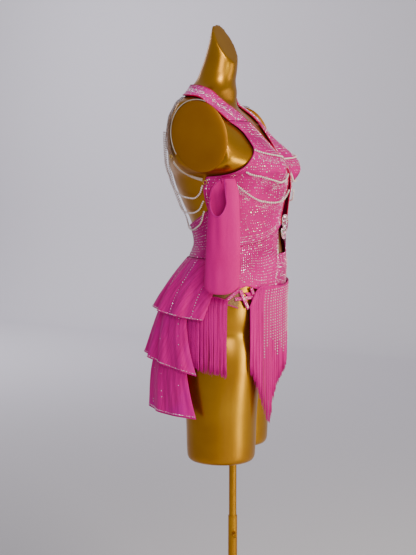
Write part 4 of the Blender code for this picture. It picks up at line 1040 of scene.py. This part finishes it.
angle = np.linspace(124.0, 236.0, 70)
fold = 180.0 - np.abs(180.0 - angle)
low = smooth(fold, YOKE_ANGLE, YOKE_LOW_Z)
high = smooth(fold, BAND_ROWS[4:, 2], BAND_ROWS[4:, 3]) - 3.5
z = high + (low - high) * np.linspace(0, 1, 30)[:, None]
points = on_form(angle, z, BASE_GAP)
yoke, outer, facing = shell("net_yoke", points, MESH_WALL, nude_net)
wear(yoke, "nude_net", "back_yoke")
pieces = [edging("net_yoke_binding", outer[-1] + (0, 0, 0.5), 1.2, nude_net, "nude_net")]
for label, side in SIDES:
    for number, (string, gap) in enumerate(zip(BACK_STRINGS, STRING_GAP), 1):
        string_angle, string_z = along(string, 120)
        path = on_form(side * string_angle, string_z, np.full(120, gap))
        pearls = beads(f"back_pearls_{number}_{label}", measured(path, 5.2), PEARL_RADIUS - 0.1,
                       pearl_glass)
        wear(pearls, "pearls", f"back_string_{number}_{label}")
        pieces.append(pearls)
cut_as(points)

# ---- Neckband ------------------------------------------------------------------------
# One wide band of paler satin from front to front round the nape, its armhole edge turned
# back crimson and trimmed with net. Crystal chain is laid along it in a row of rings.
BAND_GAP, BAND_WALL = 3.0, 2.0
LOOP_STEP_MM, LOOP_RADIUS_MM = 20.0, 7.0


def through(angle, z, count):
    """A smooth run along the form through these points, as count angles and heights."""
    knots = form_point(angle, z)
    t = np.linspace(0, len(knots) - 1, count)
    x, y, z = [smooth(t, np.arange(len(knots)), knots[:, k]) for k in range(3)]
    half_width, front, back, square = form_section(z)
    s = np.sign(x) * np.abs(x / half_width) ** (square / 2)
    c = (y - (back - front) / 2) / ((back + front) / 2)
    turned = np.degrees(np.arctan2(s, -np.sign(c) * np.abs(c) ** (square / 2)))
    return turned % 360.0, z


# The same satin in a lighter dye lot, pressed smooth: light pink, with a soft shine.
band_satin, _, _ = satin("light fuchsia satin", "C80484", "E81CA4", 0.44, 0.0, 1.2, 0.10)
# Silver grey stretch net, folded double as a trim; its pale grey is partly a painted highlight.
silver_net_rim_highlight, _, _ = satin("silver grey net trim with painted rim highlight", "8C807A", "B0A6A0", 0.6, 0.0, 1.6, 0.25)

mirrored = BAND_ROWS[-2::-1] * (-1, 1, -1, 1) + (360, 0, 360, 0)
table = np.concatenate([BAND_ROWS, mirrored])
neck_angle, neck_z = through(table[:, 0], table[:, 1], 161)
arm_angle, arm_z = through(table[:, 2], table[:, 3], 161)
u = np.linspace(0, 1, 24)[:, None]
angle = neck_angle + (arm_angle - neck_angle) * u
z = neck_z + (arm_z - neck_z) * u
ripple = 0.35 * np.sin(np.radians(angle) * 9.0 + 5 * u) * np.sin(math.pi * u)
points = on_form(angle, z, BAND_GAP + ripple)
neckband, outer, facing = shell("neckband_satin", points, BAND_WALL, band_satin,
                                middle=(0.0, 45.0))
wear(neckband, "crystalled_satin", "neckband")
band_across, band_down = lengths(outer)
# Rings of chain, one after another along the middle of the band.
middle_run = band_across[12]
turns = np.linspace(0, middle_run[-1] / LOOP_STEP_MM - 0.5, 9000)
whole = np.floor(turns)
run = (whole + 0.6) * LOOP_STEP_MM + LOOP_RADIUS_MM * np.sin(2 * math.pi * (turns - whole))
off = LOOP_RADIUS_MM * np.cos(2 * math.pi * (turns - whole))
column = np.interp(np.clip(run, 2, middle_run[-1] - 2), middle_run, np.arange(161.0))
band_wide = np.interp(column, np.arange(161.0), band_down[-1])
row = np.clip(0.5 + off / band_wide, 0.06, 0.94) * 23
loop_path = sample(outer, row, column)
loop_face = sample(facing, row, column)
loop_run = run_of(loop_path)
at = np.arange(1.0, loop_run[-1], 2.9)
places, faces = placed(at, loop_run, loop_path), placed(at, loop_run, loop_face)
cover, cover_faces = in_lines(outer, facing, np.arange(1.0, 22.0, 2.3), 5.2)
chosen = draw.random(len(cover)) > 0.35
sizes = np.concatenate([np.full(len(places), 1.5), draw.choice([0.85, 1.1], chosen.sum())])
band_stones = stones("neckband_chain", np.concatenate([places, cover[chosen]]),
                     np.concatenate([faces, cover_faces[chosen]]), sizes, draw)
arm_turn = edging("neckband_crimson_turn", outer[-1] - facing[-1] * 0.4, 2.2, crimson_edge,
                  sides=10, flat=0.7)
neck_turn = edging("neckband_neck_turn", outer[0] - facing[0] * 0.6, 1.6, crimson_edge)
# The trim runs round each disc's upper rim, band to yoke, partly as a painted rim highlight.
for label, side in SIDES:
    rim = np.radians(np.linspace(58.0, 196.0, 90))
    deep, tall = -1.03 * PLATE_HALF_DEPTH * np.cos(rim), 1.03 * PLATE_HALF_HEIGHT * np.sin(rim)
    trim_path = np.stack([np.full(90, side * (ARM_PLANE_X + 1.2)),
                          PLATE_Y + deep * math.cos(lean) + tall * math.sin(lean),
                          PLATE_Z - deep * math.sin(lean) + tall * math.cos(lean)], axis=-1)
    edging("armhole_net_trim_" + label, trim_path, 1.1, silver_net_rim_highlight, "nude_net")
cut_as(points)

# ---- Straps --------------------------------------------------------------------------
# A clear elastic strap runs under each arm from a gold ring at the front to a slider at the
# yoke. At each hip, four satin straps set with stones cross over the net.
STRAP_WIDTH, STRAP_WALL = 8.0, 1.4
HIP_STRAPS = (
    # from_angle, from_z, to_angle, to_z, layer
    (76.0, 929.0, 63.0, 955.0, 0), (62.0, 954.0, 50.5, 913.0, 1),
    (66.0, 935.0, 45.0, 938.0, 0), (50.5, 958.0, 46.5, 944.0, 1))

# Clear polyurethane elastic: soft, slightly milky, with a wet looking shine.
clear_elastic, tree, shader = new_material("clear polyurethane elastic")
place = node(tree, "TexCoord")
milk = node(tree, "TexNoise", {"Vector": place.outputs["Object"], "Scale": 1 / (9.0 * MM)})
milky = node(tree, "MapRange", {"Value": milk.outputs["Fac"], "To Min": 0.35, "To Max": 0.6})
feed(tree, shader, {"Alpha": milky.outputs["Result"], "Base Color": srgb("E6D4C4"),
                    "Roughness": 0.22, "Coat Weight": 0.5})

# Zinc alloy fittings with a bright gold plate.
gold_plate, tree, shader = new_material("gold plated zinc")
place = node(tree, "TexCoord")
rub = node(tree, "TexNoise", {"Vector": place.outputs["Object"], "Scale": 1 / (3.0 * MM)})
rubbed = node(tree, "MapRange", {"Value": rub.outputs["Fac"], "To Min": 0.16, "To Max": 0.34})
feed(tree, shader, {"Roughness": rubbed.outputs["Result"], "Base Color": srgb("D9B45A"),
                    "Metallic": 1.0})


def strip(name, angle, z, width, out, wall, finish):
    """A flat strap: its middle runs through these angles and heights, and its width lies
    square to that run on the form."""
    middle = on_form(angle, z, np.full(len(z), out))
    lifted = on_form(angle, z, np.full(len(z), out + 1.0))
    heading = np.gradient(middle, axis=0)
    across = unit(np.cross(heading, lifted - middle))
    points = np.array([middle + across * width * w for w in np.linspace(-0.5, 0.5, 5)])
    return shell(name, points, wall, finish)


for label, side in SIDES:
    angle, z = along(((96.0, 1196.0), (108, 1205), (118, 1222), (122.5, 1236)), 40)
    elastic, _, _ = strip("underarm_elastic_" + label, side * angle, z, 7.0, 4.2, MESH_WALL,
                          clear_elastic)
    wear(elastic, "clear_elastic", "underarm_strap_" + label)
    for kind, at, radius, squash in (("ring", (93.5, 1192.0), 4.4, 1.0),
                                     ("slider", (123.0, 1247.0), 4.8, 0.8)):
        centre = on_form(side * at[0], at[1], 7.6)
        outward = centre - on_form(side * at[0], at[1], 0.0)
        fitting = tube(f"underarm_{kind}_{label}", circle(centre, outward, radius, 32, squash),
                       1.1, gold_plate, sides=8, closed=True)
        wear(fitting, "strap_metal", f"strap_{kind}_{label}")
    hip, hip_points, pieces = hip_nets[label]
    for number, row in enumerate(HIP_STRAPS, 1):
        t = np.linspace(0, 1, 24)
        angle, z = row[0] + (row[2] - row[0]) * t, row[1] + (row[3] - row[1]) * t
        out = BASE_GAP + MESH_WALL + 0.6 + row[4] * (STRAP_WALL + 0.4)
        strap, outer, facing = strip(f"hip_cross_strap_{number}_{label}", side * angle, z,
                                     STRAP_WIDTH, out, STRAP_WALL, bodice_satin)
        wear(strap, "crystalled_satin", f"hip_strap_{number}_{label}")
        places, faces = in_lines(outer, facing, (1.3, 2.7), 4.2)
        strap_stones = stones(f"hip_strap_stones_{number}_{label}", places, faces, 1.2, draw)
        pieces = pieces + [strap, strap_stones]
    cut_as(hip_points)

# ---- Skirt tiers ---------------------------------------------------------------------
# Three tiers of chiffon round the back and sides, gathered at the top and fluted to the
# hem, each bound with a narrow rolled edge. Lines of stones follow the edges.
TIER_WALL = 1.2
TIERS = (
    # name, top_angle, hem_angle, drop, flutes, flute_depth
    ("ruffle_tier_1", 86.0, 91.5, 15.0, 8, 7.0),
    ("ruffle_tier_2", 109.0, 95.5, 31.0, 9, 7.0),
    ("ruffle_tier_3", 109.0, 96.5, 4.0, 7, 5.0),
)
TIER_SHAPES = (
    # rows of: z, half_width, depth
    ((1016, 140.5, 99.0), (985, 159.5, 122), (950, 173, 146), (930, 180, 158), (903, 186, 171)),
    ((985, 156.4, 113), (950, 170.0, 134), (903, 178, 158), (850, 181, 178), (797, 183, 194)),
    ((945, 168.6, 125), (900, 173, 140), (850, 176, 157), (797, 177, 172), (740, 178, 182),
     (673, 178.5, 185)),
)

# Crinkled polyester chiffon over a dyed lining: fine upright crepe, matt, a little sheer,
# with violet patches painted in at random over the fuchsia as a painted sheen.
chiffon, tree, shader = new_material("fuchsia crinkled chiffon")
cut = node(tree, "UVMap", uv_map="cut")
place = node(tree, "TexCoord")
crepe_space = node(tree, "Mapping", {"Vector": cut.outputs["UV"], "Scale": (1.0, 0.06, 1.0)})
crepe = node(tree, "TexNoise", {"Vector": crepe_space.outputs["Vector"],
                                "Scale": 1 / (6.0 * MM), "Detail": 3.0, "Roughness": 0.5})
sheen_cloud = node(tree, "TexNoise", {"Vector": place.outputs["Object"], "Scale": 1 / (80.0 * MM),
                                "Detail": 3.0})
crepe_tone = node(tree, "ValToRGB", {"Fac": crepe.outputs["Fac"]},
                  ((0.32, "CC0080"), (0.7, "EC009C")))
# Painted sheen: violet mixed in over random patches of noise.
violet_sheen_share = node(tree, "MapRange", {"Value": sheen_cloud.outputs["Fac"], "From Min": 0.5,
                                       "From Max": 0.75, "To Max": 0.55})
chiffon_tone = node(tree, "MixRGB", {"Fac": violet_sheen_share.outputs["Result"],
                                     "Color1": crepe_tone.outputs["Color"],
                                     "Color2": srgb("D404A8")})
crepe_relief = node(tree, "Bump", {"Height": crepe.outputs["Fac"], "Strength": 0.5,
                                   "Distance": 0.5 * MM})
feed(tree, shader, {"Base Color": chiffon_tone.outputs["Color"],
                    "Normal": crepe_relief.outputs["Normal"], "Roughness": 0.55,
                    "Specular IOR Level": 0.12, "Sheen Weight": 0.06, "Sheen Tint": srgb("FF4CC8"),
                    "Alpha": 0.94})

for row, shape in zip(TIERS, TIER_SHAPES):
    name, top_angle, hem_angle, drop, flutes, deep = row
    table = np.array(shape, float)
    u = np.linspace(-1, 1, 30 * flutes + 1)
    v = np.linspace(0, 1, 44)[:, None]
    z = table[0, 0] + (table[-1, 0] - table[0, 0]) * v
    half_width = smooth(z, table[::-1, 0], table[::-1, 1])
    depth = smooth(z, table[::-1, 0], table[::-1, 2])
    turn = np.radians(u * (180.0 - (top_angle + (hem_angle - top_angle) * v ** 2)))
    # The CAD's flutes, with finer gathers between them that soften towards the hem.
    wave = deep * v ** 1.5 * (1 - 0.75 * u ** 2) * np.cos(np.pi * flutes * u)
    gather = (0.9 * np.sin(41.0 * u + 1.7 * v) + 0.7 * np.sin(67.0 * u - 2.3 * v + 1.0)
              + 0.45 * np.sin(113.0 * u + 3.1 * v + 2.0))
    gather = gather * (0.25 + 0.75 * np.sin(np.pi * v) ** 0.6)
    wave = wave + np.clip(gather + 0.6, -0.1, None)
    _, front, back, square = form_section(np.maximum(z, 930.0))
    middle = (back - front) / 2
    side_share, rear = np.sin(turn), np.cos(turn)
    x = -(half_width + wave) * np.sign(side_share) * np.abs(side_share) ** (2 / square)
    y = middle + (depth + wave - middle) * np.sign(rear) * np.abs(rear) ** (2 / square)
    points = np.stack([x, y, z - drop * v ** 2 * u ** 2 + 0.3 * wave], axis=-1)
    tier, outer, facing = shell(name + "_chiffon", points, TIER_WALL, chiffon, middle=(0.0, 0.0))
    wear(tier, "pink_chiffon", name)
    hem = edging(name + "_rolled_hem", outer[-1] - facing[-1] * 0.5, 1.25, bodice_satin,
                 "pink_chiffon")
    places, faces = in_lines(outer, facing, (42.4,), 3.6)
    columns = np.concatenate([np.linspace(0.05, 0.44, 4), np.linspace(0.56, 0.95, 4)])
    edge_places, edge_faces = in_lines(outer.transpose(1, 0, 2), facing.transpose(1, 0, 2),
                                       columns * 30 * flutes, 6.5)
    chosen = edge_places[:, 2] > table[-1, 0] - 50 if flutes == 8 else draw.random(
        len(edge_places)) > 0.85
    edge_places, edge_faces = edge_places[chosen], edge_faces[chosen]
    tier_stones = stones(name + "_stones", np.concatenate([places, edge_places]),
                         np.concatenate([faces, edge_faces]), 1.3, draw)
    cut_as(points)

# ---- Sleeves -------------------------------------------------------------------------
# Separate matt satin sleeves that hang from the underarm. The mouth's outer side sags to an
# oval opening at the rear, the hem is rounded, and both ends have a narrow turned edge.
SLEEVE_TOP, SLEEVE_HEM = 1196.0, 951.0
SLEEVE_HALF_WIDTH, SLEEVE_HALF_DEPTH = 36.0, 15.0
SLEEVE_Y = -29.0
MOUTH_Z, MOUTH_LOW, MOUTH_MIDDLE, MOUTH_HALF, STRIP_LEAN = 1160.0, 44.0, 0.31, 0.71, 7.0

# Duchesse satin worn matt side out: even, deep fuchsia, its shine broad and weak.
sleeve_satin, _, _ = satin("matt duchesse satin", "D80084", "E40090", 0.6, 0.0, 0.9, 0.03, 120.0)

for label, side in SIDES:
    turn = np.radians(np.arange(0, 360, 3.0))[None, :]
    v = np.linspace(0, 1, 60)[:, None]
    outward, rear = np.sin(turn), -np.cos(turn)
    # Outer face: the lower half of the mouth's oval; inner face: the upper half.
    lip = np.sqrt(np.clip(1.0 - ((rear - MOUTH_MIDDLE) / MOUTH_HALF) ** 2, 0, 1))
    crown = np.sqrt(np.clip(1.0 - (np.clip(rear - 0.1, 0, None) / 0.9) ** 2, 0, 1))
    opened = (outward > -0.01) & (rear > MOUTH_MIDDLE - MOUTH_HALF)
    top = np.where(opened, MOUTH_Z - MOUTH_LOW * lip, MOUTH_Z + (SLEEVE_TOP - MOUTH_Z) * crown)
    hem_z = SLEEVE_HEM + 16.0 * np.abs(rear) ** 3
    z = top + (hem_z - top) * v
    half_width, _, _, _ = form_section(z)
    leave = np.maximum(smooth(z, (900, 960, 1010, 1100, 1196, 1230.0),
                              (176.0, 173.0, 167.0, 161.0, 157.0, 157.0)), half_width + 6.0)
    # Soft creases run down and across from the mouth, and fade before the hem.
    crease = 0.6 * (1.1 * np.exp(-((rear + 0.1 - 0.35 * v) / 0.22) ** 2)
                    - 0.9 * np.exp(-((rear - 0.35 - 0.2 * v) / 0.18) ** 2)
                    + 0.6 * np.sin(9.0 * rear + 7.0 * v))
    crease = crease * np.clip(outward, 0, 1) * (1 - 0.5 * v)
    x = side * (leave + 3.0 + SLEEVE_HALF_DEPTH * (1.0 + outward) + crease)
    widen = 1.0 + 0.06 * v - 0.16 * (1 - v) ** 3
    y = SLEEVE_Y + SLEEVE_HALF_WIDTH * widen * rear
    y = y + STRIP_LEAN * np.clip((z - MOUTH_Z) / (SLEEVE_TOP - MOUTH_Z), 0, 1) ** 2 * (rear < 0.2)
    points = np.stack(np.broadcast_arrays(x, y, z), axis=-1)
    sleeve, outer, facing = shell("hung_sleeve_" + label, points, BASE_WALL, sleeve_satin,
                                  closed=True, middle=(side * 178.0, SLEEVE_Y))
    wear(sleeve, "sleeve_satin", "sleeve_" + label)
    mouth = edging("sleeve_mouth_edge_" + label, outer[0] - facing[0] * 0.7, 1.5, band_satin,
                   "sleeve_satin", closed=True)
    hem = edging("sleeve_hem_edge_" + label, outer[-1] - facing[-1] * 0.7, 1.1, sleeve_satin,
                 "sleeve_satin", closed=True)
    cut_as(points,
           closed=True)
